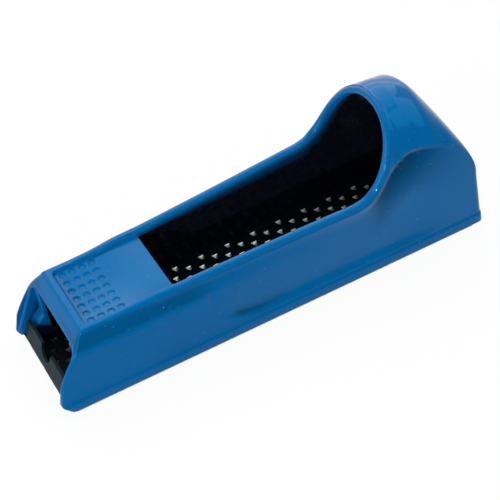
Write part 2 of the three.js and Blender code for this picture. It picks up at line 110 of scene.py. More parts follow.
def crossing(end: float, halvings: int, before: Callable[[float], bool]) -> float:
    """Finds where a test stops being true.

    Args:
        end: The end of the span that is searched from 0.
        halvings: How often the span is halved.
        before: The test.

    Returns:
        The last value found for which it is true.
    """
    low, high = 0.0, end
    for _ in range(halvings):
        middle = (low + high) / 2
        low, high = (middle, high) if before(middle) else (low, middle)
    return low


def through(knots: Sequence[Pair], place: float) -> float:
    """Reads a smooth curve through knots.

    Args:
        knots: Places and their values, in rising order of place.
        place: Where the curve is read.

    Returns:
        The curve's value at place.
    """
    last = len(knots) - 1
    if place <= knots[0][0]:
        return knots[0][1]
    if place >= knots[last][0]:
        return knots[last][1]
    after = next(i for i, knot in enumerate(knots) if knot[0] >= place)
    (x0, y0), (x1, y1) = knots[after - 1], knots[after]

    def slope(a: int, b: int) -> float:
        """Returns the slope between knots a and b."""
        return (knots[b][1] - knots[a][1]) / (knots[b][0] - knots[a][0])

    m0 = slope(max(0, after - 2), after)
    m1 = slope(after - 1, min(last, after + 1))
    span = x1 - x0
    t = (place - x0) / span
    ends = (1 + 2 * t) * (1 - t) ** 2 * y0 + t * t * (3 - 2 * t) * y1
    return ends + t * (1 - t) ** 2 * span * m0 + t * t * (t - 1) * span * m1


def rounded(points: Outline, radii: Sequence[float], steps: int = 3) -> Outline:
    """Rounds the corners of an open outline.

    Args:
        points: The outline's corners in order.
        radii: How far each corner's round reaches along its sides. The ends have none.
        steps: Parts in each round.

    Returns:
        The outline with the same number of points whatever the corners' places.
    """
    out: Outline = [points[0]]
    for i in range(1, len(points) - 1):
        here = Vector(points[i])
        sides = [Vector(points[i + step]) - here for step in (-1, 1)]
        reach = min(radii[i], *(0.48 * side.length for side in sides))
        start, end = (here + side.normalized() * reach for side in sides)
        for step in range(steps + 1):
            t = step / steps
            spot = start * (1 - t) ** 2 + here * 2 * t * (1 - t) + end * t * t
            out.append((spot.x, spot.y))
    return [*out, points[-1]]


class Bench:
    """The operations that every piece is modelled with. Sizes come in millimetres."""

    origin = -79.0

    @classmethod
    def spot(cls, point: Sequence[float]) -> Vector:
        """Returns a point of station, width and height in the frame, in metres."""
        return Vector(((point[0] + cls.origin) * MM, point[1] * MM, point[2] * MM))

    @classmethod
    def unspot(cls, place: Vector) -> Vector:
        """Returns a place of the frame as station, width and height in millimetres."""
        return Vector((place.x / MM - cls.origin, place.y / MM, place.z / MM))

    @staticmethod
    def clear() -> None:
        """Leaves edit mode and deselects everything."""
        if bpy.context.object and bpy.context.object.mode != "OBJECT":
            bpy.ops.object.mode_set(mode="OBJECT")
        bpy.ops.object.select_all(action="DESELECT")

    @classmethod
    def take(cls, *pieces: Piece) -> None:
        """Selects pieces alone.

        Args:
            *pieces: The pieces, of which the first is made active.
        """
        cls.clear()
        for piece in pieces:
            piece.select_set(True)
        bpy.context.view_layer.objects.active = pieces[0]

    @classmethod
    def edit(cls, piece: Piece) -> None:
        """Opens edit mode with all of a mesh selected.

        Args:
            piece: The piece to edit.
        """
        cls.take(piece)
        bpy.ops.object.mode_set(mode="EDIT")
        bpy.ops.mesh.select_all(action="SELECT")

    @classmethod
    def closed(cls, piece: Piece, threshold: float = 1e-6) -> Piece:
        """Merges doubles and turns the faces outwards.

        Args:
            piece: The piece to mend.
            threshold: The distance under which points are one, in metres.

        Returns:
            The same piece.
        """
        cls.edit(piece)
        bpy.ops.mesh.remove_doubles(threshold=threshold)
        bpy.ops.mesh.dissolve_degenerate(threshold=threshold)
        bpy.ops.mesh.select_all(action="SELECT")
        bpy.ops.mesh.normals_make_consistent(inside=False)
        cls.clear()
        return piece

    @classmethod
    def fresh(cls, name: str, kind: str, coat: Finish, **sizes: float | str) -> Piece:
        """Adds a primitive.

        Args:
            name: The new object's name.
            kind: The primitive: grid, circle, cube or plane.
            coat: Its finish.
            **sizes: What its operator is told.

        Returns:
            The new object.
        """
        cls.clear()
        getattr(bpy.ops.mesh, f"primitive_{kind}_add")(**sizes)
        piece = bpy.context.object
        piece.name = name
        piece.data.materials.append(coat)
        return piece

    @classmethod
    def sleeve(cls, name: str, rows: list[list[Point]], coat: Finish, capped: bool = True) -> Piece:
        """Rolls a flat grid into a closed sleeve.

        Args:
            name: The new object's name.
            rows: Rings of points, each symmetric about the middle plane where capped.
            coat: Its finish.
            capped: Whether both ends are closed by level strips to the middle plane.

        Returns:
            The sleeve as a closed mesh.
        """
        rings = list(rows)
        if capped:
            flat = [[(x, 0.0, z) for x, _, z in rings[i]] for i in (0, -1)]
            rings = [flat[0], *rings, flat[1]]
        long, around = len(rings) - 1, len(rings[0])
        piece = cls.fresh(name, "grid", coat, x_subdivisions=long, y_subdivisions=around, size=1)
        for vertex in piece.data.vertices:
            row, column = round((vertex.co.x + 0.5) * long), round((vertex.co.y + 0.5) * around)
            vertex.co = cls.spot(rings[row][column % around])
        return cls.closed(piece)

    @classmethod
    def prism(cls, name: str, outline: Sequence[Pair], ends: Pair, coat: Finish) -> Piece:
        """Extrudes a side outline across the tool.

        Args:
            name: The new object's name.
            outline: Stations and heights of the closed outline.
            ends: Where it starts and ends across the tool.
            coat: Its finish.

        Returns:
            The prism as a closed mesh.
        """
        piece = cls.fresh(name, "circle", coat, vertices=len(outline), radius=1, fill_type="NGON")
        for vertex, (x, z) in zip(piece.data.vertices, outline):
            vertex.co = cls.spot((x, ends[0], z))
        cls.edit(piece)
        bpy.ops.mesh.extrude_region_move(TRANSFORM_OT_translate={"value": (0, (ends[1] - ends[0]) * MM, 0)})
        return cls.closed(piece)

    @classmethod
    def block(cls, name: str, low: Point, high: Point, coat: Finish) -> Piece:
        """Adds a block.

        Args:
            name: The new object's name.
            low: Its lowest corner.
            high: Its highest corner.
            coat: Its finish.

        Returns:
            The block.
        """
        piece = cls.fresh(name, "cube", coat, size=1, location=(0, 0, 0))
        for vertex in piece.data.vertices:
            vertex.co = cls.spot([lerp(a, b, 0.5 + c) for a, b, c in zip(low, high, vertex.co)])
        return cls.closed(piece)

    @classmethod
    def bevelled(cls, piece: Piece, reach: float) -> Piece:
        """Rounds every edge of a piece.

        Args:
            piece: The piece.
            reach: How wide the rounds are.

        Returns:
            The same piece.
        """
        cls.edit(piece)
        bpy.ops.mesh.bevel(offset=reach * MM, segments=3, affect="EDGES")
        return cls.closed(piece)

    @classmethod
    def turned(cls, name: str, profile: Sequence[Pair], z: float, coat: Finish, sides: int = 48) -> Piece:
        """Turns a profile about an axis along the tool.

        Args:
            name: The new object's name.
            profile: Stations and radii, where 0 closes an end.
            z: The axis's height.
            coat: Its finish.
            sides: Points around.

        Returns:
            The turned body as a closed mesh.
        """
        turns = stops(0, math.tau, sides)
        rings = [[(x, r * math.cos(a), z + r * math.sin(a)) for a in turns] for x, r in profile]
        return cls.sleeve(name, rings, coat, capped=False)

    @classmethod
    def work(cls, target: Piece, cut: Cut, *others: Piece) -> None:
        """Cuts closed bodies out of a piece or welds them on, and removes them.

        Args:
            target: The piece that is kept.
            cut: Which of the two is done.
            *others: The bodies that are used up, in turn.
        """
        for other in others:
            cls.take(target)
            bpy.ops.object.modifier_add(type="BOOLEAN")
            tool = target.modifiers[-1]
            tool.operation = cut.value
            tool.solver = "EXACT"
            tool.material_mode = "TRANSFER"
            tool.object = other
            bpy.ops.object.modifier_apply(modifier=tool.name)
            bpy.data.objects.remove(other)

    @classmethod
    def joined(cls, pieces: Sequence[Piece]) -> Piece:
        """Makes one object of several.

        Args:
            pieces: The objects.

        Returns:
            The one object, with the first one's name.
        """
        cls.take(*pieces)
        bpy.ops.object.join()
        return pieces[0]

    @classmethod
    def placed(cls, piece: Piece, degrees: float, body: str, slot: str, *nodes: str) -> None:
        """Shades a finished piece smooth and sets it on its body.

        Args:
            piece: The finished piece.
            degrees: The angle between its faces up to which it is smooth.
            body: The body that it moves with.
            slot: Not used.
            *nodes: The plain solids that it stands for.
        """
        cls.take(piece)
        bpy.ops.object.shade_smooth_by_angle(angle=math.radians(degrees))
        cls.clear()
        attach(piece, body)
        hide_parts(*nodes)
        count = sum(len(face.vertices) - 2 for face in piece.data.polygons)
        LOG.info("%s rides on %s with %d triangles", piece.name, body, count)


class Wiring:
    """A node tree under work."""

    def __init__(self, tree: bpy.types.NodeTree) -> None:
        """Starts on a tree."""
        self.tree = tree

    def fill(self, node: bpy.types.Node, inputs: dict[str | int, Value]) -> None:
        """Joins or sets a node's inputs.

        Args:
            node: The node.
            inputs: What each input gets, by its index or by its name with underscores for spaces.
        """
        for key, value in inputs.items():
            socket = node.inputs[key.replace("_", " ") if isinstance(key, str) else key]
            if isinstance(value, Socket):
                self.tree.links.new(value, socket)
            else:
                socket.default_value = (*value, 1.0) if socket.type == "RGBA" else value

    def add(self, kind: str, output: str, *numbered: Value, **named: Value) -> Socket:
        """Adds a node.

        Args:
            kind: The node's kind.
            output: The name of the output that is wanted.
            *numbered: What its first inputs get.
            **named: What its inputs of these names get.

        Returns:
            The output.
        """
        node = self.tree.nodes.new(f"ShaderNode{kind}")
        self.fill(node, dict(enumerate(numbered)) | named)
        return node.outputs[output]

    def maths(self, operation: str, *values: Value) -> Socket:
        """Adds a step of arithmetic.

        Args:
            operation: What it does.
            *values: What it works on.

        Returns:
            Its outcome.
        """
        node = self.tree.nodes.new("ShaderNodeMath")
        node.operation = operation
        self.fill(node, dict(enumerate(values)))
        return node.outputs["Value"]

    def seen(self) -> Socket:
        """Tells the rays that show the backdrop from those that light the tool.

        Returns:
            1 for rays from the camera, mirrored ones and clear ones, or else 0.
        """
        rays = self.tree.nodes.new("ShaderNodeLightPath").outputs
        either = self.maths("MAXIMUM", rays["Is Camera Ray"], rays["Is Glossy Ray"])
        return self.maths("MAXIMUM", either, rays["Is Transmission Ray"])

    def finish(self, output: str, *shares: Socket) -> None:
        """Leads a blend of two shaders, given after its share, to the tree's output."""
        self.fill(self.tree.nodes[output], {"Surface": self.add("MixShader", "Shader", *shares)})


class Recipe(Wiring):
    """A material under work, around one principled shader."""

    def __init__(self, name: str) -> None:
        """Starts a material.

        Args:
            name: Its name.
        """
        self.material = bpy.data.materials.new(name)
        self.material.use_nodes = True
        super().__init__(self.material.node_tree)
        self.shader = self.tree.nodes["Principled BSDF"]
        self.place = self.add("TexCoord", "Object")

    def shade(self, **inputs: Value) -> None:
        """Joins or sets the shader's own inputs."""
        self.fill(self.shader, inputs)

    def stretched(self, scale: Point) -> Socket:
        """Returns the piece's coordinates stretched by scale."""
        return self.add("Mapping", "Vector", Scale=scale, Vector=self.place)

    def noise(self, scale: float, detail: float, rough: float, vector: Socket | None = None) -> Socket:
        """Returns the grey of a noise of so many grains a metre."""
        place = vector or self.place
        return self.add("TexNoise", "Fac", Scale=scale, Detail=detail, Roughness=rough, Vector=place)

    def ramp(self, source: Socket, *steps: tuple[float, Point]) -> Socket:
        """Reads a grey through a ramp.

        Args:
            source: The grey.
            *steps: The two steps' places and colours.

        Returns:
            The colour.
        """
        node = self.tree.nodes.new("ShaderNodeValToRGB")
        for element, (place, colour) in zip(node.color_ramp.elements, steps):
            element.position = place
            element.color = (*colour, 1.0)
        self.fill(node, {"Fac": source})
        return node.outputs["Color"]

    def span(self, source: Socket, low: float, high: float, start: float = 0.3, end: float = 0.7) -> Socket:
        """Returns a grey mapped from start and end to low and high."""
        sizes = {"From_Min": start, "From_Max": end, "To_Min": low, "To_Max": high}
        return self.add("MapRange", "Result", Value=source, **sizes)

    def mixed(self, share: Socket, first: Value, second: Value) -> Socket:
        """Blends two colours.

        Args:
            share: How much of the second is in it.
            first: The first colour.
            second: The second colour.

        Returns:
            The blend.
        """
        node = self.tree.nodes.new("ShaderNodeMix")
        node.data_type = "RGBA"
        keys = [i for i, socket in enumerate(node.inputs) if socket.type == "RGBA"]
        self.fill(node, {0: share, keys[0]: first, keys[1]: second})
        return next(socket for socket in node.outputs if socket.type == "RGBA")

    def bump(self, *layers: tuple[Socket, float, float]) -> None:
        """Stacks bumps on the shader's normal.

        Args:
            *layers: Each bump's height, its strength and its depth in metres.
        """
        normal: dict[str, Socket] = {}
        for height, strength, depth in layers:
            sizes = {"Strength": strength, "Distance": depth, "Height": height}
            normal["Normal"] = self.add("Bump", "Normal", **sizes, **normal)
        self.shade(**normal)

    def axis(self, name: str) -> Socket:
        """Returns one of the piece's own coordinates in metres, X, Y or Z."""
        return self.add("SeparateXYZ", name, Vector=self.place)

    def attribute(self, name: str) -> Socket:
        """Reads a point attribute of the piece.

        Args:
            name: The attribute's name.

        Returns:
            Its value.
        """
        node = self.tree.nodes.new("ShaderNodeAttribute")
        node.attribute_name = name
        return node.outputs["Fac"]


def tone(red: int, green: int, blue: int) -> Point:
    """Returns a screen colour of 0 to 255 as a linear one."""
    shares = (level / 255 for level in (red, green, blue))
    return tuple(s / 12.92 if s <= 0.04045 else ((s + 0.055) / 1.055) ** 2.4 for s in shares)


@dataclass(frozen=True)
class Enamel:
    """Glossy stoved enamel on the casting, which handling has polished on its rim."""

    name: str = "blue_enamel"
    gloss: float = 0.3
    sheen: Point = (0.03, 0.5, 0.85)
    body: Point = tone(0, 91, 152)
    deep: Point = tone(0, 85, 144)
    # painted shade: the darker blue that the enamel takes under the brow, in the grip's crease and on the toe's
    # band
    shade_tone: Point = tone(0, 44, 76)
    dust: Point = tone(120, 160, 200)

    def material(self) -> Finish:
        """Mixes the enamel.

        Returns:
            The enamel with its faint orange peel, colour drift and painted shade.
        """
        recipe = Recipe(self.name)
        cloud = recipe.noise(38, 4, 0.55)
        drift = recipe.ramp(cloud, (0.3, self.deep), (0.7, self.body))
        speck = recipe.ramp(recipe.noise(2600, 1, 0.4), (0.76, BLACK), (0.8, WHITE))
        # painted shade: a point attribute darkens the enamel towards a deep blue under the brow, in the grip's
        # crease and on the toe's band
        painted_shade = recipe.mixed(recipe.attribute("painted_shade"), drift, self.shade_tone)
        recipe.shade(
            Base_Color=recipe.mixed(speck, painted_shade, self.dust),
            Roughness=recipe.span(recipe.noise(900, 3, 0.6), 0.07, 0.1),
            Specular_IOR_Level=self.gloss,
            Specular_Tint=self.sheen,
        )
        recipe.bump((recipe.noise(320, 2, 0.5), 0.3, 0.00003), (cloud, 0.3, 0.0002))
        return recipe.material


@dataclass(frozen=True)
class PaintedShadeInside:
    """Painted shade inside the casting: a near-black coat, with the enamel blue near its edges."""

    dark: Point = tone(9, 11, 20)
    light: Point = tone(16, 20, 34)
    # the enamel blue that shows near the edges, where no shade is painted
    painted_shading: Point = tone(0, 90, 152)

    def material(self) -> Finish:
        """Mixes the painted shade.

        Returns:
            The painted shade, with a point attribute of the piece as its share of blue.
        """
        recipe = Recipe("painted_shade_inside")
        grain = recipe.noise(420, 4, 0.6)
        base = recipe.ramp(grain, (0.3, self.dark), (0.75, self.light))
        # painted shade: near black inside, blended to the enamel blue by the piece's share of blue near its
        # edges
        recipe.shade(
            Base_Color=recipe.mixed(recipe.attribute("unshaded_blue"), base, self.painted_shading),
            Roughness=recipe.span(grain, 0.14, 0.3),
            Specular_IOR_Level=0.12,
        )
        recipe.bump((grain, 0.15, 0.0002))
        return recipe.material


@dataclass(frozen=True)
class BladeSteel:
    """Dark hardened strip steel with rolling lines and scratches, with painted shade on the strip and its bends
    below the bluer bent lips.
    """

    dark: Point = tone(4, 6, 9)
    worn: Point = tone(10, 16, 21)
    lip: Point = tone(3, 22, 28)
    worn_lip: Point = tone(8, 32, 39)
    bare: Point = tone(52, 80, 90)
    # heights in metres over which the painted shade of the strip and bends gives way to the lips' colours
    bend_shade_heights: Pair = (0.0031, 0.0034)

    def material(self) -> Finish:
        """Mixes the strip's finish.

        Returns:
            The finish.
        """
        recipe = Recipe("dark_strip_steel")
        lines = recipe.noise(700, 4, 0.6, recipe.stretched((0.06, 1, 1)))
        blotch = recipe.noise(160, 5, 0.6)
        strip = recipe.ramp(blotch, (0.3, self.dark), (0.75, self.worn))
        bent = recipe.ramp(blotch, (0.3, self.lip), (0.75, self.worn_lip))
        # painted shade: below these heights the strip and its bends take the darker colours
        base = recipe.mixed(recipe.span(recipe.axis("Z"), 0, 1, *self.bend_shade_heights), strip, bent)
        scratch = recipe.ramp(lines, (0.64, BLACK), (0.76, (0.35, 0.35, 0.35)))
        recipe.shade(
            Base_Color=recipe.mixed(scratch, base, self.bare),
            Roughness=recipe.span(blotch, 0.38, 0.55),
            Specular_IOR_Level=0.05,
        )
        recipe.bump((lines, 0.25, 0.00005), (blotch, 0.2, 0.0001))
        return recipe.material


@dataclass(frozen=True)
class GroundSteel:
    """Bright ground steel of the teeth, with painted shade on those at the toe, under the toe plate."""

    bright: Point = tone(244, 255, 252)
    dull: Point = tone(226, 246, 243)
    # painted shade: the darker colour of the teeth under the toe plate, and the stations in metres over which
    # it fades out
    toe_shade: Point = tone(20, 34, 38)
    toe_shade_places: Pair = (-0.069, -0.061)

    def material(self) -> Finish:
        """Mixes the ground finish.

        Returns:
            The finish with its fine grinding lines and painted shade at the toe.
        """
        recipe = Recipe("ground_steel")
        lines = recipe.noise(3200, 2, 0.5, recipe.stretched((1, 0.15, 1)))
        ground = recipe.ramp(lines, (0.3, self.dull), (0.7, self.bright))
        # painted shade: the teeth under the toe plate are darkened towards the toe
        dark = recipe.span(recipe.axis("X"), 0.96, 0.0, *self.toe_shade_places)
        recipe.shade(
            Base_Color=recipe.mixed(dark, ground, self.toe_shade),
            Roughness=recipe.span(lines, 0.25, 0.45),
            Metallic=0.1,
        )
        recipe.bump((lines, 0.2, 0.00003))
        return recipe.material


@dataclass(frozen=True)
class PlatedSteel:
    """Zinc-plated fixings, or a darker oiled plate."""

    name: str
    light: Point
    dark: Point
    shine: float

    def material(self) -> Finish:
        """Mixes the plating.

        Returns:
            The plating with its cloudy bloom.
        """
        recipe = Recipe(self.name)
        grit = recipe.noise(2400, 2, 0.5)
        recipe.shade(
            Base_Color=recipe.ramp(recipe.noise(450, 5, 0.6), (0.3, self.dark), (0.7, self.light)),
            Roughness=recipe.span(grit, self.shine, self.shine + 0.18),
            Metallic=0.9,
        )
        recipe.bump((grit, 0.25, 0.00004))
        return recipe.material


@dataclass
class Casting:
    """The cast body: toe plate, walls, palm hood, heel and everything cast with them."""

    length: float = 158.0
    width: float = 42.0
    toe_height: float = 28.0
    toe_top_half: float = 16.2
    toe_rake: float = 13.4
    toe_power: float = 1.42
    toe_blend: float = 45.0
    nose_height: float = 6.2
    nose_run: float = 4.8
    toe_round: float = 1.2
    band_height: float = 5.6
    band_least: float = 4.8
    band_half: float = 19.3
    crease_drop: float = 2.4
    flare_run: Pair = (25, 116)
    flare_power: float = 1.4
    skirt_lift: float = 0.4
    skirt_edge: float = 0.4
    bead_height: float = 3.6
    bead_proud: float = 0.6
    side_radii: Sequence[float] = (0, 0.3, 0.6, 0.6, 0.9, 0.9, 4.0, 2.4, 1.2, 0.6, 0)
    wall: float = 2.0
    plate_thickness: float = 4.2
    sill_drop: float = 0.8
    sill_depth: float = 4.0
    sill_soft: float = 0.6
    tunnel_flare: float = 1.0
    tunnel_corner: float = 1.2
    bay_wall: float = 2.3
    bay_heights: Pair = (2.9, 4.7)
    bay_ledge: float = 0.9
    wall_shares: Sequence[float] = (0, 0.4, 0.68, 1)
    cut_low: float = -12.0
    opening: float = 46.4
    mouth_foot: float = 109.0
    mouth_shares: Sequence[Pair] = ((0, 0), (0.47, 0.02), (0.69, 0.43), (1, 1))
    hood_crown: float = 129.3
    hood_height: float = 56.4
    hood_half: float = 20.4
    hood_under_rim: float = 0.22
    hood_wall: float = 2.6
    hood_extra: float = 1.0
    shoulder_height: float = 31.6
    heel_height: float = 21.8
    heel_lean: float = 1.5
    heel_round: float = 2.2
    heel_wall: float = 3.0
    rim_radius: float = 1.75
    rim_crown_radius: float = 1.5
    rim_under_crown: float = 0.47
    rim_proud: float = 0.45
    rim_start: float = 24.5
    rim_toe: float = 27.2
    rim_heel: float = 29.6
    rim_melt: float = 1.1
    rim_crown_melt: float = 0.4
    rim_ramp: float = 16.0
    rim_sink: Pair = (0.5, 1.3)
    rim_power: float = 2.2
    rim_cover: float = 0.03
    rim_swell: float = 1.2
    grip_start: float = 54.5
    grip_edge: float = 1.6
    grip_run: float = 15.0
    grip_depth: float = 1.35
    grip_end: float = 146.0
    grip_fade: float = 26.0
    grip_middle_share: float = 0.45
    border_heights: Pair = (6.4, 13.0)
    border_run: float = 20.0
    border_soft: float = 0.9
    pad_start: float = 15.6
    pad_half: float = 13.6
    pad_depth: float = 1.2
    pad_corner: float = 1.6
    pad_margin: float = 0.9
    pad_shore: Pair = (-0.75, 0.35)
    pad_over: float = 0.06
    pad_bank: float = 0.3
    dish_depth: float = 1.1
    dish_run: float = 3.0
    dish_fade: Pair = (30.0, 42.0)
    dimple_start: float = 18.4
    dimple_edge: Pair = (0.8, 1.4)
    dimple_depth: float = 0.42
    dimple_pitches: Pair = (3.5, 3.87)
    dimple_counts: tuple[int, int] = (4, 7)
    lug_outline: Sequence[Pair] = (
        (10.9, 2.9), (10.9, 22.7), (9.3, 22.7), (9.3, 11.9), (5.5, 8.4), (5.5, 2.9),
    )
    lug_ends: Pair = (12.8, 18.8)
    lug_bevel: float = 0.35
    screw_height: float = 13.5
    boss_profile: Sequence[Pair] = ((150.7, 0), (150.7, 8.4), (151.1, 8.8), (156.5, 8.8), (156.5, 0))
    seat_profile: Sequence[Pair] = (
        (142, 0), (142, 2.7), (153.7, 2.7), (153.7, 6.2), (157.0, 6.2), (158.2, 7.0), (170, 7.0), (170, 0),
    )
    hood_back: Sequence[Pair] = (
        (0, 0.994), (0.1, 0.999), (0.2, 1), (0.355, 0.972), (0.477, 0.915), (0.634, 0.73),
        (0.812, 0.462), (0.9, 0.3), (0.955, 0.165), (1, 0),
    )
    shoulders: Sequence[Pair] = (
        (0, 0.56), (0.2, 0.63), (0.355, 0.69), (0.477, 0.73), (0.634, 0.83), (0.812, 0.86), (1, 0.93),
    )
    arch_powers: Sequence[Pair] = ((0, 2.2), (0.2, 1.9), (0.355, 1.8), (0.634, 2), (0.812, 4), (1, 8))
    brow: Sequence[Pair] = (
        (113, 31), (118, 33.5), (123, 38.6), (128, 42.2), (134, 43.7), (140, 43), (146, 41.2), (152, 38.9),
    )
    brow_depth: float = 1.7
    brow_half: float = 6.0
    brow_runs: Pair = (12.0, 17.0)
    brow_drops: Pair = (2.6, 15.0)
    brow_power: float = 1.3
    # painted shade: where and how strongly the enamel is darkened under the brow, in the grip's crease and on
    # the toe's band
    shade_middle: float = 8.0
    shade_brow: Sequence[float] = (-1.0, 9.0, 14.0, 2.0)
    shade_brow_drops: Sequence[float] = (0.2, 2.4, 19.0)
    shade_grip: Sequence[float] = (7.0, 10.0, 11.0, 31.0)
    shade_grip_heights: Pair = (1.6, 2.2)
    shade_grip_share: float = 0.7
    shade_band: Sequence[float] = (-0.5, 1.0, 4.2, 5.2)
    shade_band_end: Pair = (-6.0, 8.0)
    shade_band_edge: Pair = (1.3, 0.5)
    shade_band_share: float = 0.45
    # where the painted shade inside gives way to the enamel blue: near the rim, the toe and the sole
    unshaded_rim: Pair = (1.6, 3.2)
    unshaded_toe: Pair = (1.5, 9.0)
    unshaded_sole: Pair = (1.5, 3.2)
    unshaded_faint: float = 0.5
    rim_tree: KDTree | None = field(default=None, repr=False)

    def toe_profile(self, height: float) -> float:
        """Reads the toe's front.

        Args:
            height: The height at which it is read.

        Returns:
            How far it lies back there.
        """
        if height < self.nose_height:
            share = clamp((self.nose_height - height) / (self.nose_height - self.skirt_lift))
            return self.nose_run * (1 - math.sqrt(1 - share * share))
        share = (height - self.nose_height) / (self.toe_height - self.nose_height)
        return self.toe_rake * share**self.toe_power

    def reach(self, station: float, height: float) -> float:
        """Leans a section's point with the toe and the heel.

        Args:
            station: The section's station.
            height: The point's height.

        Returns:
            Where the point lies along the tool.
        """
        lean = self.heel_lean * along(height, 0, self.heel_height) * self.back_share(station) ** 2
        fore = self.toe_profile(height) * (1 - along(station, 0, self.toe_blend)) ** 2
        return station + fore - lean

    def toe_fall(self, station: float) -> float:
        """Returns how far the toe's corners round in at a station."""
        return sag(self.toe_round, self.toe_round * (1 - along(station, 0, self.toe_round)))

    def inset(self, station: float) -> float:
        """Returns how far the corners of toe and heel round the plan in."""
        away = self.heel_round * along(station, self.length - self.heel_round, self.length)
        return self.toe_fall(station) + sag(self.heel_round, away)

    def flare(self, station: float, half: float) -> float:
        """Returns a half width that grows from the toe's to the hood's."""
        return lerp(half, self.hood_half, along(station, *self.flare_run) ** self.flare_power)

    def hood_share(self, station: float) -> float:
        """Returns how much of the section is the hood's arch."""
        return swell(station, self.opening, self.mouth_foot)

    def back_share(self, station: float) -> float:
        """Returns how far a station lies down the hood's back."""
        return along(station, self.hood_crown, self.length)

    def crown_share(self, height: float) -> float:
        """Returns how far a height is from the shoulder to the hood's crown, for the rim."""
        return swell(height, self.shoulder_height + 8, self.hood_height - 4)

    def rim_thick(self, height: float) -> float:
        """Returns the rim's radius at a height, which falls towards the hood's crown."""
        return lerp(self.rim_radius, self.rim_crown_radius, self.crown_share(height))

    def apex(self) -> float:
        """Returns the height of the rim's centreline at the hood's crown."""
        return self.hood_height - self.rim_under_crown - self.rim_crown_radius

    def crown(self, station: float) -> float:
        """Reads the section's top, which lies a little under the rim's at the hood.

        Args:
            station: Where along the tool it is read.

        Returns:
            Its height.
        """
        top = self.hood_height - self.hood_under_rim
        if station > self.hood_crown:
            return lerp(self.heel_height, top, through(self.hood_back, self.back_share(station)))
        return lerp(self.toe_height, top, self.hood_share(station))

    def shoulder(self, station: float) -> float:
        """Reads where the side ends and the top begins.

        Args:
            station: Where along the tool it is read.

        Returns:
            The height of that.
        """
        if station > self.hood_crown:
            return self.crown(station) * through(self.shoulders, self.back_share(station))
        return lerp(self.toe_height - self.toe_round, self.shoulder_height, self.hood_share(station))

    def arch(self, station: float, half: float, shoulder: float, crown: float, steps: int) -> Outline:
        """Draws the section's top from its shoulder to the middle.

        Args:
            station: Where the section lies.
            half: The half width at the shoulder.
            shoulder: The shoulder's height.
            crown: The height at the middle.
            steps: Points before the middle.

        Returns:
            Half widths and heights, ending at the middle.
        """
        share = self.hood_share(station)
        power = 2 / through(self.arch_powers, self.back_share(station))
        points: Outline = []
        for step in range(1, steps + 1):
            edge = (math.pi / 2) * step / steps
            bow = (math.pi / 2) * step / (steps + 1)
            turn = ((half, math.cos(edge)), (crown, math.sin(edge)))
            rim = [end - self.toe_round * (1 - wave) for end, wave in turn]
            top = (half * math.cos(bow) ** power, shoulder + (crown - shoulder) * math.sin(bow) ** power)
            points.append((lerp(rim[0], top[0], share), lerp(rim[1], top[1], share)))
        return [*points, (0.0, crown)]

    def border(self, station: float) -> float:
        """Returns the height of the grip hollow's lower border."""
        share = (1 - along(station, self.grip_start, self.grip_start + self.border_run)) ** 2
        return lerp(*self.border_heights, share)

    def grip(self, station: float, rise: float) -> float:
        """Returns how deep the side's grip hollow is at a station, where it deepens over a length of rise."""
        grown = swell(station, self.grip_start, self.grip_start + rise)
        return self.grip_depth * grown * (1 - swell(station, self.grip_end - self.grip_fade, self.grip_end))

    def outer_half(self, station: float) -> Outline:
        """Draws half of the outer section.

        Args:
            station: Where the section lies.

        Returns:
            Half widths and heights, from the bottom to the middle of the top.
        """
        inset, fall = self.inset(station), self.toe_fall(station)
        base = self.width / 2 - inset
        foot = base - self.bead_proud
        foot_top = self.skirt_lift + self.bead_height + self.bead_proud
        edge = self.flare(station, self.band_half) - inset
        top = self.flare(station, self.toe_top_half) - inset
        crown, shoulder = self.crown(station) - fall, self.shoulder(station) - fall
        band = min(self.toe_height - self.band_height, shoulder - self.band_least)
        crease = shoulder - self.crease_drop
        under, over = (self.border(station) + way * self.border_soft for way in (-1, 1))
        middle = (over + band) / 2
        low = self.grip(station, self.grip_run)
        high = self.grip_middle_share * self.grip(station, self.grip_edge)

        def slope(height: float) -> float:
            """Returns the plain side's half width at a height."""
            return lerp(foot, edge, along(height, foot_top, band))

        arch = self.arch(station, top, shoulder, crown, 30)
        points: Outline = [
            (base - self.skirt_edge, self.skirt_lift),
            (base, self.skirt_lift + self.skirt_edge),
            (base, self.skirt_lift + self.bead_height),
            (foot, foot_top),
            (slope(under), under),
            (slope(over) - low, over),
            (slope(middle) - (low + high) / 2, middle),
            (edge - high, band),
            (lerp(edge, top, along(crease, band, shoulder)), crease),
            (top, shoulder),
            arch[0],
        ]
        return [*rounded(points, self.side_radii)[:-1], *arch]

    @staticmethod
    def ring(station: float, half: Outline, reach: Callable[[float, float], float]) -> list[Point]:
        """Mirrors half a section into a whole ring.

        Args:
            station: Where the section lies.
            half: Its half widths and heights, ending at the middle.
            reach: Gives a point's place along the tool from its station and height.

        Returns:
            The ring's points.
        """
        right = [(reach(station, z), y, z) for y, z in half]
        left = [(x, -y, z) for x, y, z in reversed(right[:-1])]
        return [*right, *left]

    def stations(self) -> list[float]:
        """Spaces the outer sections.

        Returns:
            Their stations.
        """
        corner = self.length - self.heel_round
        edge = self.grip_start + self.grip_edge
        return [
            *(self.toe_round * (1 - math.cos(a)) for a in stops(0, math.pi / 2, 6)),
            *stops(self.toe_round, self.grip_start, 40),
            *stops(self.grip_start, edge, 6),
            *stops(edge, self.mouth_foot, 48),
            *stops(self.mouth_foot, corner, 104),
            *(corner + self.heel_round * math.sin(a) for a in stops(0, math.pi / 2, 8)),
            self.length,
        ]

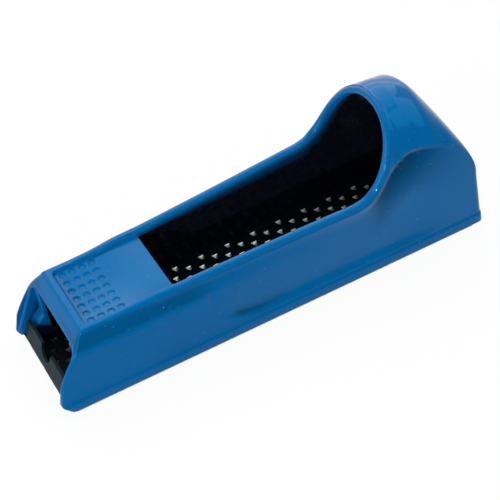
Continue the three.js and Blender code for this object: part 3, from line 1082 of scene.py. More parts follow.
    def mouth_curve(self, share: float) -> Pair:
        """Follows the mouth's curve.

        Args:
            share: How far along it, from the level rim at 0 to the crown at 1.

        Returns:
            The station and height there.
        """
        weights = ((1 - share) ** 3, 3 * share * (1 - share) ** 2, 3 * share**2 * (1 - share), share**3)
        back, up = (sum(w * knot[i] for w, knot in zip(weights, self.mouth_shares)) for i in (0, 1))
        return lerp(self.mouth_foot, self.hood_crown, back), lerp(self.rim_heel, self.apex(), up)

    def mouth_station(self, height: float) -> float:
        """Returns the mouth's station at a height."""
        return self.mouth_curve(crossing(1.0, 30, lambda share: self.mouth_curve(share)[1] < height))[0]

    def rim_points(self) -> list[Point]:
        """Draws the rim's centreline.

        Returns:
            Its knots, from the toe on one side, over the hood and back.
        """

        def centre(station: float) -> float:
            """Returns the centreline's half width at a station."""
            return self.flare(station, self.toe_top_half) + self.rim_proud - self.rim_radius

        side: list[Point] = []
        for station in stops(self.rim_start, self.mouth_foot, 30):
            height = lerp(self.rim_toe, self.rim_heel, along(station, self.opening, self.mouth_foot))
            sunk = 1 - swell(station, self.rim_start, self.rim_start + self.rim_ramp)
            inward, down = (sink * sunk for sink in self.rim_sink)
            side.append((station, centre(station) - inward, height - down))
        for height in stops(self.rim_heel, self.shoulder_height, 3):
            side.append((self.mouth_station(height), centre(self.mouth_station(height)), height))
        power = 2 / self.rim_power
        half = self.hood_half + self.rim_proud - self.rim_radius
        for angle in stops(0, math.pi / 2, 18):
            height = lerp(self.shoulder_height, self.apex(), math.sin(angle) ** power)
            side.append((self.mouth_station(height), half * math.cos(angle) ** power, height))
        other = [(x, -y, z) for x, y, z in reversed(side)]
        return [*side, (self.hood_crown, 0.0, self.apex()), *other]

    def rim_line(self, count: int = 300) -> list[Vector]:
        """Smooths the rim's centreline.

        Args:
            count: How many points.

        Returns:
            Evenly spaced points on one curve.
        """
        knots = [Vector(point) for point in self.rim_points()]
        fine: list[Vector] = []
        for before, start, end, after in zip([knots[0], *knots], knots, knots[1:], [*knots[2:], knots[-1]]):
            a, b = (end - before) * 0.5, (after - start) * 0.5
            for t in stops(0, 1, 12):
                ends = start * (2 * t**3 - 3 * t**2 + 1) + end * (3 * t**2 - 2 * t**3)
                fine.append(ends + a * (t**3 - 2 * t**2 + t) + b * (t**3 - t**2))
        fine.append(knots[-1])
        lengths = [0.0]
        for start, end in zip(fine, fine[1:]):
            lengths.append(lengths[-1] + (end - start).length)
        line, at = [], 0
        for i in range(count):
            goal = lengths[-1] * i / (count - 1)
            while at < len(lengths) - 2 and lengths[at + 1] < goal:
                at += 1
            line.append(fine[at].lerp(fine[at + 1], along(goal, lengths[at], lengths[at + 1])))
        return line

    def swollen(self, spot: Vector, out: Vector) -> Vector:
        """Moves a point of the skin out to where the skin melts into the rim.

        Args:
            spot: The point on the plain skin.
            out: The skin's outward direction there.

        Returns:
            The point on the swollen skin.
        """
        core, _, gap = self.rim_tree.find(spot)
        radius = self.rim_thick(core.z)
        melt = lerp(self.rim_melt, self.rim_crown_melt, self.crown_share(core.z))
        if gap > radius + melt + 1:
            return spot

        def within(away: float) -> bool:
            """Returns whether a point so far out is still inside the swollen skin."""
            tube = self.rim_tree.find(spot + out * away)[2] - radius - self.rim_cover
            return min(away, tube) < max(melt - abs(away - tube), 0.0) ** 2 / (4 * melt)

        return spot + out * crossing(self.rim_swell, 14, within)

    def browed(self, spot: Vector) -> Vector:
        """Presses the skin into the finger hollow under the hood's brow.

        Args:
            spot: A point of the skin.

        Returns:
            The pressed point.
        """
        first, last = self.brow[0][0], self.brow[-1][0]
        if not first < spot.x < last or abs(spot.y) < self.brow_half:
            return spot
        below = through(self.brow, spot.x) - spot.z
        grown, fading = (first + run for run in self.brow_runs)
        rise = swell(spot.x, first, grown) * (1 - swell(spot.x, fading, last))
        fall = swell(below, 0, self.brow_drops[0]) * (1 - along(below, *self.brow_drops)) ** self.brow_power
        return Vector((spot.x, spot.y - math.copysign(self.brow_depth * rise * fall, spot.y), spot.z))

    def outer(self, coat: Finish) -> Piece:
        """Models the whole outer form.

        Args:
            coat: Its finish.

        Returns:
            The closed body, swollen where it meets the rim.
        """
        rows = [self.ring(s, self.outer_half(s), self.reach) for s in self.stations()]
        piece = Bench.sleeve("casting", rows, coat)
        high = Bench.spot((self.length, self.width / 2, self.hood_height))
        moved = []
        for vertex in piece.data.vertices:
            spot = self.browed(Bench.unspot(vertex.co))
            moved.append(Bench.spot(self.swollen(spot, vertex.normal.copy())))
        for vertex, place in zip(piece.data.vertices, moved):
            vertex.co = (place.x, max(-high.y, min(high.y, place.y)), min(high.z, place.z))
        return piece

    def inner_edge(self, station: float, height: float) -> float:
        """Reads the hollow's half width beside the wall.

        Args:
            station: Where along the tool it is read.
            height: The height at which it is read.

        Returns:
            The half width.
        """
        low = self.toe_height - self.band_height - self.wall / 2
        share = along(height, low, self.toe_height - self.toe_round)
        edge = lerp(self.flare(station, self.band_half), self.flare(station, self.toe_top_half), share)
        return edge - self.wall - self.hood_extra * self.hood_share(station)

    def inner_half(self, station: float, shoulder: float, arch: Outline, grow: float = 0.0) -> Outline:
        """Draws half of the hollow's section.

        Args:
            station: Where the section lies.
            shoulder: The height where its wall ends.
            arch: The outline of its top.
            grow: How much it is grown beside the walls.

        Returns:
            Half widths and heights, from below the tool to the middle of the top.
        """
        band = min(self.toe_height - self.band_height - self.wall / 2, shoulder - 0.3)
        bay = self.width / 2 - self.bay_wall + grow
        heights = [lerp(band, shoulder, share) for share in self.wall_shares]
        return [
            (bay, self.cut_low),
            (bay, self.bay_heights[0]),
            *((bay - self.bay_ledge, z) for z in self.bay_heights),
            *((self.inner_edge(station, z) + grow, z) for z in heights),
            *arch,
        ]

    def tunnel(self, coat: Finish) -> Piece:
        """Models the hollow under the toe plate, with a rounded mouth.

        Args:
            coat: Its finish.

        Returns:
            The cutter.
        """
        flare, corner = self.tunnel_flare, self.tunnel_corner
        roof_back = self.toe_height - self.plate_thickness
        rows = []
        start, end = (self.sill_depth + way * self.sill_soft for way in (-1, 1))
        fronts = [self.cut_low, -0.02, *(flare * (1 - math.cos(a)) for a in stops(0, math.pi / 2, 5))]
        for station in [*fronts, flare, start, *stops(self.sill_depth, self.opening, 20), self.opening + 0.3]:
            grow = sag(flare, flare - clamp(station / flare) * flare)
            roof = lerp(roof_back - self.sill_drop, roof_back, swell(station, start, end)) + grow
            edge = max(0.0, station)
            arch = [(self.inner_edge(edge, roof) - corner + grow, roof), (0.0, roof)]
            half = self.inner_half(edge, roof - corner, arch, grow)
            rows.append(self.ring(station, half, lambda s, h: self.reach(max(0.0, s), h) + min(0.0, s)))
        return Bench.sleeve("tunnel", rows, coat)

    def hollow(self, coat: Finish) -> Piece:
        """Models the hollow of the open body and the hood.

        Args:
            coat: Its finish.

        Returns:
            The cutter.
        """
        end = self.length - self.heel_wall
        fore = [*stops(self.opening, self.mouth_foot, 30), *stops(self.mouth_foot, self.hood_crown, 20)]
        open_top = self.toe_height + self.rim_radius + self.hood_wall
        hood_top = self.hood_height - self.hood_wall
        rows = []
        for station in [*fore, *stops(self.hood_crown, end, 24), end]:
            crown = lerp(open_top, hood_top, self.hood_share(station))
            if station > self.hood_crown:
                crown = self.crown(min(self.length, station + self.hood_wall)) - self.hood_wall * 0.7
            shoulder = min(self.shoulder(station), crown - self.hood_wall)
            arch = self.arch(station, self.inner_edge(station, self.toe_height), shoulder, crown, 14)
            rows.append(self.ring(station, self.inner_half(station, shoulder, arch), lambda s, _: s))
        return Bench.sleeve("hollow", rows, coat)

    def mouth(self, coat: Finish) -> Piece:
        """Models what opens the body from the toe plate to the hood.

        Args:
            coat: Its finish.

        Returns:
            The cutter.
        """
        top = self.hood_height + 12
        curve = [self.mouth_curve(i / 60) for i in range(61)]
        # the cut is lifted by up to the rim's radius, so that the skin ends over the rim's middle
        radius, low, high = self.rim_crown_radius, self.shoulder_height, self.apex()
        lifted = [(x, z + radius * swell(z, low, high)) for x, z in curve]
        outline = [(self.opening, self.rim_toe), *lifted, (self.hood_crown, top), (self.opening, top)]
        return Bench.prism("mouth", outline, (-self.width, self.width), coat)

    def rim(self, coat: Finish) -> Piece:
        """Models the round bead along both walls and over the hood.

        Args:
            coat: Its finish.

        Returns:
            The bead.
        """
        line = self.rim_line()
        turns = stops(0, math.tau, 20)
        across = Vector((0, 0, 1))
        rows: list[list[Point]] = []

        def hoop(centre: Vector, ahead: Vector, radius: float) -> None:
            """Adds one ring of the bead.

            Args:
                centre: Its middle.
                ahead: The direction of the line there.
                radius: Its radius.
            """
            nonlocal across
            across = (across - ahead * across.dot(ahead)).normalized()
            beside = ahead.cross(across)
            spokes = (across * math.cos(a) + beside * math.sin(a) for a in turns)
            rows.append([tuple(centre + spoke * radius) for spoke in spokes])

        end = self.rim_radius
        caps = [(end * math.sin(a), end * math.cos(a)) for a in stops(math.pi / 2, 0, 5)]
        first, last = (line[1] - line[0]).normalized(), (line[-1] - line[-2]).normalized()
        for away, radius in caps:
            hoop(line[0] - first * away, first, radius)
        for before, point, after in zip([line[0], *line], line, [*line[1:], line[-1]]):
            hoop(point, (after - before).normalized(), self.rim_thick(point.z))
        for away, radius in reversed(caps):
            hoop(line[-1] + last * away, last, radius)
        return Bench.sleeve("rim", rows, coat, capped=False)

    def pad_height(self, x: float, y: float) -> float:
        """Reads the thumb pad's floor.

        Args:
            x: The station.
            y: The place across the tool.

        Returns:
            The floor's height.
        """
        gap_x = self.pad_start + self.pad_corner - x
        gap_y = abs(y) - (self.pad_half - self.pad_corner)
        outside = math.hypot(max(gap_x, 0), max(gap_y, 0)) + min(max(gap_x, gap_y), 0) - self.pad_corner
        rise = (self.pad_depth + self.pad_over) * swell(outside, *self.pad_shore)
        rise += self.pad_bank * max(0.0, outside - self.pad_shore[1])
        height = self.toe_height - self.pad_depth + rise
        column = round((x - self.dimple_start) / self.dimple_pitches[0])
        row = round(y / self.dimple_pitches[1])
        if 0 <= column < self.dimple_counts[0] and abs(row) <= self.dimple_counts[1] // 2:
            middle = self.dimple_start + column * self.dimple_pitches[0]
            away = math.hypot(x - middle, y - row * self.dimple_pitches[1])
            height -= self.dimple_depth * (1 - swell(away, *self.dimple_edge))
        dish = swell(x, self.pad_start, self.pad_start + self.dish_run) * (1 - swell(x, *self.dish_fade))
        return height - self.dish_depth * dish * (1 - clamp(abs(y) / self.pad_half) ** 2)

    def pad(self, coat: Finish) -> Piece:
        """Models what sinks the thumb pad with its dimples into the toe plate.

        Args:
            coat: Its finish.

        Returns:
            The cutter.
        """
        x0, x1 = self.pad_start - self.pad_margin, self.opening + 0.5
        half = self.pad_half + self.pad_margin
        piece = Bench.fresh("pad", "grid", coat, x_subdivisions=150, y_subdivisions=140, size=1)
        for vertex in piece.data.vertices:
            x, y = lerp(x0, x1, vertex.co.x + 0.5), lerp(-half, half, vertex.co.y + 0.5)
            vertex.co = Bench.spot((x, y, self.pad_height(x, y)))
        Bench.edit(piece)
        bpy.ops.mesh.region_to_loop()
        bpy.ops.mesh.extrude_edges_move(TRANSFORM_OT_translate={"value": (0, 0, 8 * MM)})
        bpy.ops.mesh.edge_face_add()
        return Bench.closed(piece)

    def lug(self, side: int, coat: Finish) -> Piece:
        """Returns one of the two lugs that hold the blade's front lip."""
        ends = tuple(sorted(side * end for end in self.lug_ends))
        return Bench.bevelled(Bench.prism("lug", self.lug_outline, ends, coat), self.lug_bevel)

    def boss(self, coat: Finish) -> Piece:
        """Returns the round boss inside the heel around the screw's seat."""
        return Bench.turned("boss", self.boss_profile, self.screw_height, coat)

    def seat(self, coat: Finish) -> Piece:
        """Returns the cutter of the screw's recess and bore."""
        return Bench.turned("seat", self.seat_profile, self.screw_height, coat, sides=64)

    def painted_shade_share(self, spot: Vector) -> float:
        """Finds where shade is painted into the enamel: under the brow, at the grip's front and on the toe's
        band.

        Args:
            spot: A point of the skin.

        Returns:
            How much shade is painted there, between 0 and 1.
        """
        if abs(spot.y) <= self.shade_middle:
            return 0.0
        first, last = self.brow[0][0], self.brow[-1][0]
        below = through(self.brow, min(last, max(first, spot.x))) - spot.z
        start, grown, fading, gone = self.shade_brow
        rise = swell(spot.x, first + start, first + grown) * (1 - swell(spot.x, first + fading, last + gone))
        lip, full, gone = self.shade_brow_drops
        under_brow = rise * swell(below, lip, full) * (1 - along(below, full, gone))
        start, grown, fading, gone = (self.grip_start + away for away in self.shade_grip)
        wedge = swell(spot.x, start, grown) * (1 - along(spot.x, fading, gone))
        low, (under, over) = self.border(spot.x) + self.border_soft, self.shade_grip_heights
        stripe = swell(spot.z, low - under, low) * (1 - swell(spot.z, low, low + over))
        in_grip = self.shade_grip_share * wedge * stripe
        start, grown, fading, gone = (self.toe_height - self.band_height + away for away in self.shade_band)
        on_band = self.shade_band_share * swell(spot.z, start, grown) * (1 - along(spot.z, fading, gone))
        on_band *= 1 - swell(spot.x, *(self.grip_start + away for away in self.shade_band_end))
        edge = self.flare(spot.x, self.toe_top_half)
        on_band *= along(abs(spot.y), *(edge - away for away in self.shade_band_edge))
        return clamp(max(under_brow, in_grip, on_band))

    def unshaded_blue_share(self, spot: Vector) -> float:
        """Finds where the inside shows the enamel blue instead of painted shade: near the rim, the toe and the
        sole.

        Args:
            spot: A point of the skin.

        Returns:
            How much of it is there, between 0 and 1.
        """
        _, _, gap = self.rim_tree.find(spot)
        near_rim = ease(1 - along(gap, *self.unshaded_rim))
        front = ease(1 - along(spot.x - self.reach(0, spot.z), *self.unshaded_toe))
        below = 1 - along(spot.z, *self.unshaded_sole)
        return clamp(max(self.unshaded_faint * near_rim, front, self.unshaded_faint * below))

    def painted_shading(self, piece: Piece) -> None:
        """Writes the shares of the inside's blue and of the enamel's painted shade.

        Args:
            piece: The piece whose points get them.
        """
        for name, share in (("unshaded_blue", self.unshaded_blue_share), ("painted_shade", self.painted_shade_share)):
            values = [share(Bench.unspot(vertex.co)) for vertex in piece.data.vertices]
            piece.data.attributes.new(name, "FLOAT", "POINT").data.foreach_set("value", values)

    def build(self) -> None:
        """Builds the casting and sets it on its body."""
        coat, dark = Enamel().material(), PaintedShadeInside().material()
        polished = Enamel("polished_enamel", 0.36, (0.1, 0.52, 0.86)).material()
        line = self.rim_line(1800)
        self.rim_tree = KDTree(len(line))
        for i, point in enumerate(line):
            self.rim_tree.insert(point, i)
        self.rim_tree.balance()
        piece = self.outer(coat)
        # the hollows' faces take the painted shade of the inside
        Bench.work(piece, Cut.AWAY, self.tunnel(dark), self.hollow(dark), self.mouth(coat), self.pad(coat))
        lugs = [self.lug(side, coat) for side in (1, -1)]
        Bench.work(piece, Cut.ONTO, self.rim(polished), self.boss(coat), *lugs)
        Bench.work(piece, Cut.AWAY, self.seat(coat))
        Bench.closed(piece, 2e-6)
        self.painted_shading(piece)
        Bench.placed(piece, 34, "casting", "paint", "body_casting")


@dataclass
class RaspBlade:
    """The perforated strip with its cutting teeth and bent ends."""

    start: float = 1.6
    length: float = 140.0
    width: float = 36.8
    sheet: float = 1.0
    drop: float = 1.6
    front_lip: float = 10.3
    front_lean: float = 2.6
    front_half: float = 15.8
    rear_lip: float = 7.4
    rear_half: float = 15.0
    notch_half: float = 3.6
    notch_depth: float = 4.2
    notch_reach: float = 7.0
    edge_notch: float = 2.6
    nick: Pair = (0.5, 1.4)
    nick_bevel: float = 0.2
    edge_pitch: float = 12.0
    edge_shift: float = 1.3
    pitch: float = 10.1
    row_shift: float = 4.16
    row_pitch: float = 2.24
    phase: float = 5.6
    rows: int = 16
    margin: float = 4.0
    skew: float = math.radians(-26)
    tooth_scale: float = 0.84
    hole_half: Sequence[Pair] = ((-0.8, -0.66), (-0.1, -1.12), (0.7, -1.48), (1.25, -1.2), (1.6, -0.6))
    hole_ends: Pair = (-1.42, 1.7)

    def outline(self) -> Outline:
        """Draws the strip from the side.

        Returns:
            Its outline with rounded bends.
        """
        start, end = self.start, self.start + self.length
        low, high = self.drop, self.drop + self.sheet
        under = [(start + self.front_lean, self.front_lip), (start, low), (end, low), (end, self.rear_lip)]
        over = [
            (end - self.sheet, self.rear_lip),
            (end - self.sheet, high),
            (start + self.sheet, high),
            (start + self.front_lean + self.sheet, self.front_lip),
        ]
        return [*rounded(under, [0, 1.8, 1.6, 0], 6), *rounded(over, [0, 0.6, 0.8, 0], 6)]

    def places(self) -> list[Pair]:
        """Sets out the teeth in slanted rows.

        Returns:
            The station and width of each.
        """
        low, high = self.start + self.margin, self.start + self.length - self.margin
        found = []
        steps = math.ceil(self.length / self.pitch) + self.rows
        for row in range(self.rows):
            across = ((self.rows - 1) / 2 - row) * self.row_pitch
            for step in range(-steps, steps):
                station = self.start + self.phase + row * self.row_shift + step * self.pitch
                if low < station < high:
                    found.append((station, across))
        return found

    def hole(self, x: float, y: float, coat: Finish) -> Piece:
        """Models one drop-shaped hole.

        Args:
            x: The tooth's station.
            y: The tooth's place across the tool.
            coat: Its finish.

        Returns:
            The cutter.
        """
        top = self.drop + self.sheet + 1
        turn = Matrix.Rotation(self.skew, 2)
        other = [(a, -b) for a, b in reversed(self.hole_half)]
        shape = [(self.hole_ends[0], 0), *self.hole_half, (self.hole_ends[1], 0), *other]
        drop = [turn @ Vector((a * self.tooth_scale, b * self.tooth_scale)) for a, b in shape]
        levels = ((0, 0.0), (1, 0.0), (1, top), (0, top))
        rings = [[(x + spot.x * share, y + spot.y * share, z) for spot in drop] for share, z in levels]
        return Bench.sleeve("hole", rings, coat, capped=False)

    def tooth(self, bright: Finish) -> Piece:
        """Models one scoop of sheet that runs down under its hole to a ground edge.

        Args:
            bright: The finish of the ground steel.

        Returns:
            The tooth at the origin of stations and widths.
        """
        top = self.drop + self.sheet
        # middle and corner stations, half width, middle and corner heights, thickness
        steps = (
            (-1.30, -1.30, 0.05, top, top, 0.12),
            (-0.75, -0.72, 0.50, top - 0.12, top - 0.03, 0.3),
            (-0.20, 0.00, 1.00, top - 0.28, top - 0.08, 0.34),
            (0.25, 0.80, 1.38, top - 0.5, top - 0.15, 0.34),
            (0.45, 0.95, 1.30, 1.2, 1.7, 0.34),
            (0.62, 1.05, 1.15, 0.25, 1.0, 0.24),
        )
        rows: list[list[Point]] = []
        for middle, corner, half, low, high, thick in steps:
            bows = [(u, lerp(middle, corner, u * u), lerp(low, high, u * u)) for u in (1, 0.5, 0, -0.5, -1)]
            over = [(x, half * u, z) for u, x, z in bows]
            rows.append(over + [(x, y, max(0.0, z - thick)) for x, y, z in reversed(over)])
        around = len(rows[0])
        ends = [[(steps[i][0], 0.0, z)] * around for i, z in ((0, top - 0.06), (-1, 0.1))]
        piece = Bench.sleeve("tooth", [ends[0], *rows, ends[1]], bright, capped=False)
        scale = Matrix.Diagonal((self.tooth_scale, self.tooth_scale, 1, 1))
        piece.data.transform(scale @ Matrix.Translation((-Bench.origin * MM, 0, 0)))
        return piece

    def trimmings(self, coat: Finish) -> list[Piece]:
        """Models what narrows the lips and cuts the front notch and the front edge's nicks.

        Args:
            coat: Their finish.

        Returns:
            The cutters.
        """
        end = self.start + self.length
        low = self.drop + self.sheet
        cutters = []
        for side in (1, -1):
            for half, x0, x1, top in (
                (self.front_half, self.start - 1, self.start + 5, self.front_lip + 1),
                (self.rear_half, end - 1.3, end + 1, self.rear_lip + 1),
            ):
                near, wide = sorted((side * half, side * self.width))
                cutters.append(Bench.block("trim", (x0, near, low), (x1, wide, top), coat))
        reach, half = self.notch_reach, self.notch_half
        foot = self.front_lip - self.notch_depth + half
        cutters.append(Bench.turned("notch", [(0, 0), (0, half), (reach, half), (reach, 0)], foot, coat))
        cutters.append(Bench.block("notch", (0, -half, foot), (reach, half, self.front_lip + 1), coat))
        for place in (1, 0, -1):
            y = place * self.edge_pitch + self.edge_shift
            near, wide = (y + way * self.edge_notch / 2 for way in (-1, 1))
            corners = (self.start - 1, near, 0), (self.start + self.nick[0], wide, self.drop + self.nick[1])
            cutters.append(Bench.bevelled(Bench.block("nick", *corners, coat), self.nick_bevel))
        return cutters

    def build(self) -> None:
        """Builds the blade and sets it on its body."""
        dark, bright = BladeSteel().material(), GroundSteel().material()
        piece = Bench.prism("blade", self.outline(), (-self.width / 2, self.width / 2), dark)
        Bench.work(piece, Cut.AWAY, *self.trimmings(dark))
        places = self.places()
        Bench.work(piece, Cut.AWAY, Bench.joined([self.hole(x, y, dark) for x, y in places]))
        first = self.tooth(bright)
        teeth = []
        for x, y in places:
            copy = first.copy()
            copy.data = first.data.copy()
            bpy.context.scene.collection.objects.link(copy)
            place = Matrix.Translation(Bench.spot((x, y, 0)))
            copy.data.transform(place @ Matrix.Rotation(self.skew, 4, "Z"))
            teeth.append(copy)
        bpy.data.objects.remove(first)
        Bench.placed(Bench.joined([piece, *teeth]), 40, "blade", "blade_steel", "rasp_blade")
        LOG.info("the blade has %d teeth", len(places))


@dataclass
class TensionGear:
    """Hook, nut, washer and screw that pull the blade tight."""

    axis: float = 13.5
    bore_radius: float = 2.7
    web: float = 145.0
    finger: float = 138.8
    hook_half: float = 12.0
    hook_sheet: float = 1.5
    hook_low: float = 4.4
    hook_roof: float = 9.2
    hook_top: float = 19.0
    nut: Point = (141.7, 144.7, 4.0)
    washer: Point = (154.0, 155.0, 5.4)
    screw: Point = (135.7, 155.3, 2.4)
    head: Pair = (2.4, 4.4)
    slot: Pair = (1.0, 1.2)
    thread: float = 0.8
    thread_depth: float = 0.42
    screw_tip: float = 0.35

    def bored(self, piece: Piece, x0: float, x1: float, coat: Finish, bevel: float) -> Piece:
        """Bores a piece along the screw's axis and breaks its sharp edges.

        Args:
            piece: The piece.
            x0: Where the bore starts.
            x1: Where it ends.
            coat: The bore's finish.
            bevel: How wide the broken edges are.

        Returns:
            The same piece.
        """
        radius = self.bore_radius
        profile = [(x0, 0), (x0, radius), (x1, radius), (x1, 0)]
        Bench.work(piece, Cut.AWAY, Bench.turned("bore", profile, self.axis, coat))
        Bench.take(piece)
        bpy.ops.object.modifier_add(type="BEVEL")
        tool = piece.modifiers[-1]
        tool.width = bevel * MM
        tool.segments = 2
        tool.limit_method = "ANGLE"
        tool.angle_limit = math.radians(50)
        bpy.ops.object.modifier_apply(modifier=tool.name)
        return Bench.closed(piece)

    def build_hook(self, coat: Finish) -> None:
        """Builds the bent plate that draws the blade's rear lip.

        Args:
            coat: Its finish.
        """
        t = self.hook_sheet
        web, finger, low, roof = self.web, self.finger, self.hook_low, self.hook_roof
        front = [(web, self.hook_top), (web, roof), (finger, roof), (finger, low)]
        inside = [(finger + t, low), (finger + t, roof - t), (web, roof - t), (web, low)]
        back = [(web + t, low), (web + t, self.hook_top)]
        bends = rounded([*inside, *back], [0, 0.5, 0.3, 0.3, 0.3, 0], 4)
        outline = [*rounded(front, [0, 0.5, 1.5, 0], 5), *bends]
        piece = Bench.prism("hook", outline, (-self.hook_half, self.hook_half), coat)
        self.bored(piece, web - 3, web + t + 3, coat, 0.15)
        Bench.placed(piece, 35, "hook", "dark_steel", "tension_hook")

    def build_nut(self, coat: Finish) -> None:
        """Builds the square nut with its chamfered corners.

        Args:
            coat: Its finish.
        """
        x0, x1, half = self.nut
        piece = Bench.block("nut", (x0, -half, self.axis - half), (x1, half, self.axis + half), coat)
        self.bored(Bench.bevelled(piece, 0.3), x0 - 2, x1 + 2, coat, 0.1)
        Bench.placed(piece, 35, "hook", "zinc_steel", "square_nut")

    def build_washer(self, coat: Finish) -> None:
        """Builds the flat washer with one side's edge rolled over.

        Args:
            coat: Its finish.
        """
        x0, x1, radius = self.washer
        rolled = [(x0, radius - 0.15), (x0 + 0.12, radius), (x1 - 0.4, radius), (x1, radius - 0.35)]
        profile = [(x0, self.bore_radius), *rolled, (x1, self.bore_radius), (x0, self.bore_radius)]
        piece = Bench.turned("washer", profile, self.axis, coat)
        Bench.placed(piece, 35, "screw", "zinc_steel", "screw_washer")

    def build_screw(self, coat: Finish) -> None:
        """Builds the slotted screw with its rolled thread.

        Args:
            coat: Its finish.
        """
        x0, x1, radius = self.screw
        end, head = x1 + self.head[0], self.head[1]
        turns = stops(0, math.tau, 24)
        rows: list[list[Point]] = []

        def ring(x: float, radii: Sequence[float]) -> None:
            """Adds one ring of the screw, with a radius for each of its sides."""
            rows.append([(x, r * math.cos(a), self.axis + r * math.sin(a)) for r, a in zip(radii, turns)])

        ring(x0, [0.0] * len(turns))
        count = int((x1 - x0) / self.thread * 6)
        for i in range(count + 1):
            x = lerp(x0, x1, i / count)
            taper = lerp(0.8, 1, min(self.screw_tip, x - x0) / self.screw_tip)
            deep = self.thread_depth if x < x1 - 1.2 else 0
            phases = ((x / self.thread - side / len(turns)) % 1 for side in range(len(turns)))
            ring(x, [(radius - deep * abs(2 * phase - 1)) * taper for phase in phases])
        dome = ((x1 + 0.9, 0.0), (x1 + 1.6, 0.35), (end - 0.25, 1.3), (end, 2.6), (end, head))
        for x, less in ((x1, 0.15), (x1 + 0.15, 0.0), *dome):
            ring(x, [head - less] * len(turns))
        piece = Bench.sleeve("screw", rows, coat, capped=False)
        half = self.slot[1] / 2
        low, high = (end - self.slot[0], -half, self.axis - 6), (end + 2, half, self.axis + 6)
        Bench.work(piece, Cut.AWAY, Bench.block("slot", low, high, coat))
        Bench.placed(piece, 30, "screw", "zinc_steel", "tension_screw")

    def build(self) -> None:
        """Builds the four pieces and sets them on their bodies."""
        zinc = PlatedSteel("zinc_plate", tone(198, 202, 204), tone(160, 165, 170), 0.28).material()
        oiled = PlatedSteel("oiled_plate", tone(96, 100, 104), tone(64, 68, 72), 0.38).material()
        self.build_hook(oiled)
        self.build_nut(zinc)
        self.build_washer(zinc)
        self.build_screw(zinc)


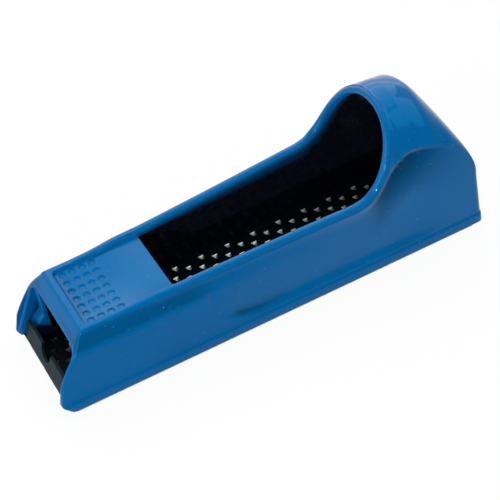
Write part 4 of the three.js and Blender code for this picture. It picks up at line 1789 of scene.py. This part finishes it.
@dataclass
class Studio:
    """The camera, the pale floor and the soft lamps."""

    azimuth: float = -21.36
    elevation: float = 43.62
    roll: float = 9.29
    distance: float = 0.50961
    aim: Point = (-0.001, 0.0, 0.0204)
    lens: float = 111.41
    sensor: float = 36.0
    shift: Pair = (0.01198, -0.02764)
    clip: Pair = (0.01, 20.0)
    under: Pair = (0.0745, 0.0205)
    floor_size: float = 6.0
    floor_white: float = 0.92
    soft_light: float = 0.13
    lamp_aim: Point = (0, 0, 0.02)

    @staticmethod
    def bearing(azimuth: float, elevation: float) -> Vector:
        """Returns the direction of an azimuth, with 0 at the near side, and an elevation in degrees."""
        az, el = math.radians(azimuth), math.radians(elevation)
        return Vector((math.sin(az) * math.cos(el), -math.cos(az) * math.cos(el), math.sin(el)))

    def camera(self) -> None:
        """Places the camera at the photograph's viewing angle."""
        back = self.bearing(self.azimuth, self.elevation)
        az, roll = math.radians(self.azimuth), math.radians(self.roll)
        right = Vector((math.cos(az), math.sin(az), 0))
        up = back.cross(right)
        turned_right = right * math.cos(roll) - up * math.sin(roll)
        turned_up = right * math.sin(roll) + up * math.cos(roll)
        data = bpy.data.cameras.new("camera")
        data.lens = self.lens
        data.sensor_width = self.sensor
        data.sensor_fit = "HORIZONTAL"
        data.shift_x, data.shift_y = self.shift
        data.clip_start, data.clip_end = self.clip
        camera = bpy.data.objects.new("camera", data)
        camera.matrix_world = Matrix((turned_right, turned_up, back)).transposed().to_4x4()
        camera.matrix_world.translation = Vector(self.aim) + back * self.distance
        bpy.context.scene.collection.objects.link(camera)
        bpy.context.scene.camera = camera

    def lamp(self, name: str, azimuth: float, elevation: float, far: float, size: Pair, power: float) -> None:
        """Adds a soft lamp that faces the tool.

        Args:
            name: The lamp's name.
            azimuth: Its bearing in degrees, with 0 at the tool's near side.
            elevation: Its height in degrees.
            far: Its distance in metres.
            size: Its width and height in metres.
            power: Its power in watts.
        """
        away = self.bearing(azimuth, elevation)
        data = bpy.data.lights.new(name, "AREA")
        data.shape = "RECTANGLE"
        data.size, data.size_y = size
        data.energy = power
        lamp = bpy.data.objects.new(name, data)
        lamp.location = Vector(self.lamp_aim) + away * far
        lamp.rotation_euler = away.to_track_quat("Z", "Y").to_euler()
        bpy.context.scene.collection.objects.link(lamp)

    def floor(self) -> None:
        """Lays the floor, white but for the tool's shadow and dark under the tool."""
        recipe = Recipe("floor_white")
        recipe.shade(Base_Color=(0.8, 0.8, 0.8), Roughness=0.9, Specular_IOR_Level=0.0)
        sides = [recipe.maths("ABSOLUTE", recipe.axis(name)) for name in "XY"]
        beyond = [recipe.maths("GREATER_THAN", side, half) for side, half in zip(sides, self.under)]
        white = recipe.maths("MULTIPLY", recipe.seen(), self.floor_white)
        share = recipe.maths("MULTIPLY", white, recipe.maths("MAXIMUM", *beyond))
        glow = recipe.add("Emission", "Emission", Strength=1.0)
        recipe.finish("Material Output", share, recipe.shader.outputs["BSDF"], glow)
        Bench.fresh("floor", "plane", recipe.material, size=self.floor_size, location=(0, 0, 0))

    def world(self) -> None:
        """Surrounds the tool with plain soft light and a white backdrop."""
        world = bpy.data.worlds.new("studio")
        bpy.context.scene.world = world
        world.use_nodes = True
        wiring = Wiring(world.node_tree)
        wiring.fill(wiring.tree.nodes["Background"], {"Color": WHITE, "Strength": self.soft_light})
        soft = wiring.tree.nodes["Background"].outputs["Background"]
        white = wiring.add("Background", "Background", Color=WHITE)
        wiring.finish("World Output", wiring.seen(), soft, white)

    def build(self) -> None:
        """Sets up the whole studio."""
        bpy.context.scene.view_settings.view_transform = "Standard"
        self.camera()
        self.floor()
        self.world()
        self.lamp("back_softbox", 165, 55, 1.1, (1.4, 1.2), 12.0)
        self.lamp("side_softbox", 66, 52, 1.2, (1.2, 0.42), 4.2)
        self.lamp("top_softbox", 0, 86, 1.1, (0.6, 0.4), 1.3)
        self.lamp("backdrop_glow", 160, 16, 1.3, (1.8, 0.4), 2.4)
        self.lamp("toe_softbox", -80, 26, 1.3, (0.9, 0.6), 6.5)
        self.lamp("glint_bulb", -38, 20, 1.1, (0.018, 0.018), 4.6)


def main() -> None:
    """Loads the frame, builds each piece in turn and reports it."""
    logging.basicConfig(level=logging.INFO, format="%(message)s")
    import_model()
    Studio().build()
    Casting().build()
    RaspBlade().build()
    TensionGear().build()


if __name__ == "__main__":
    main()
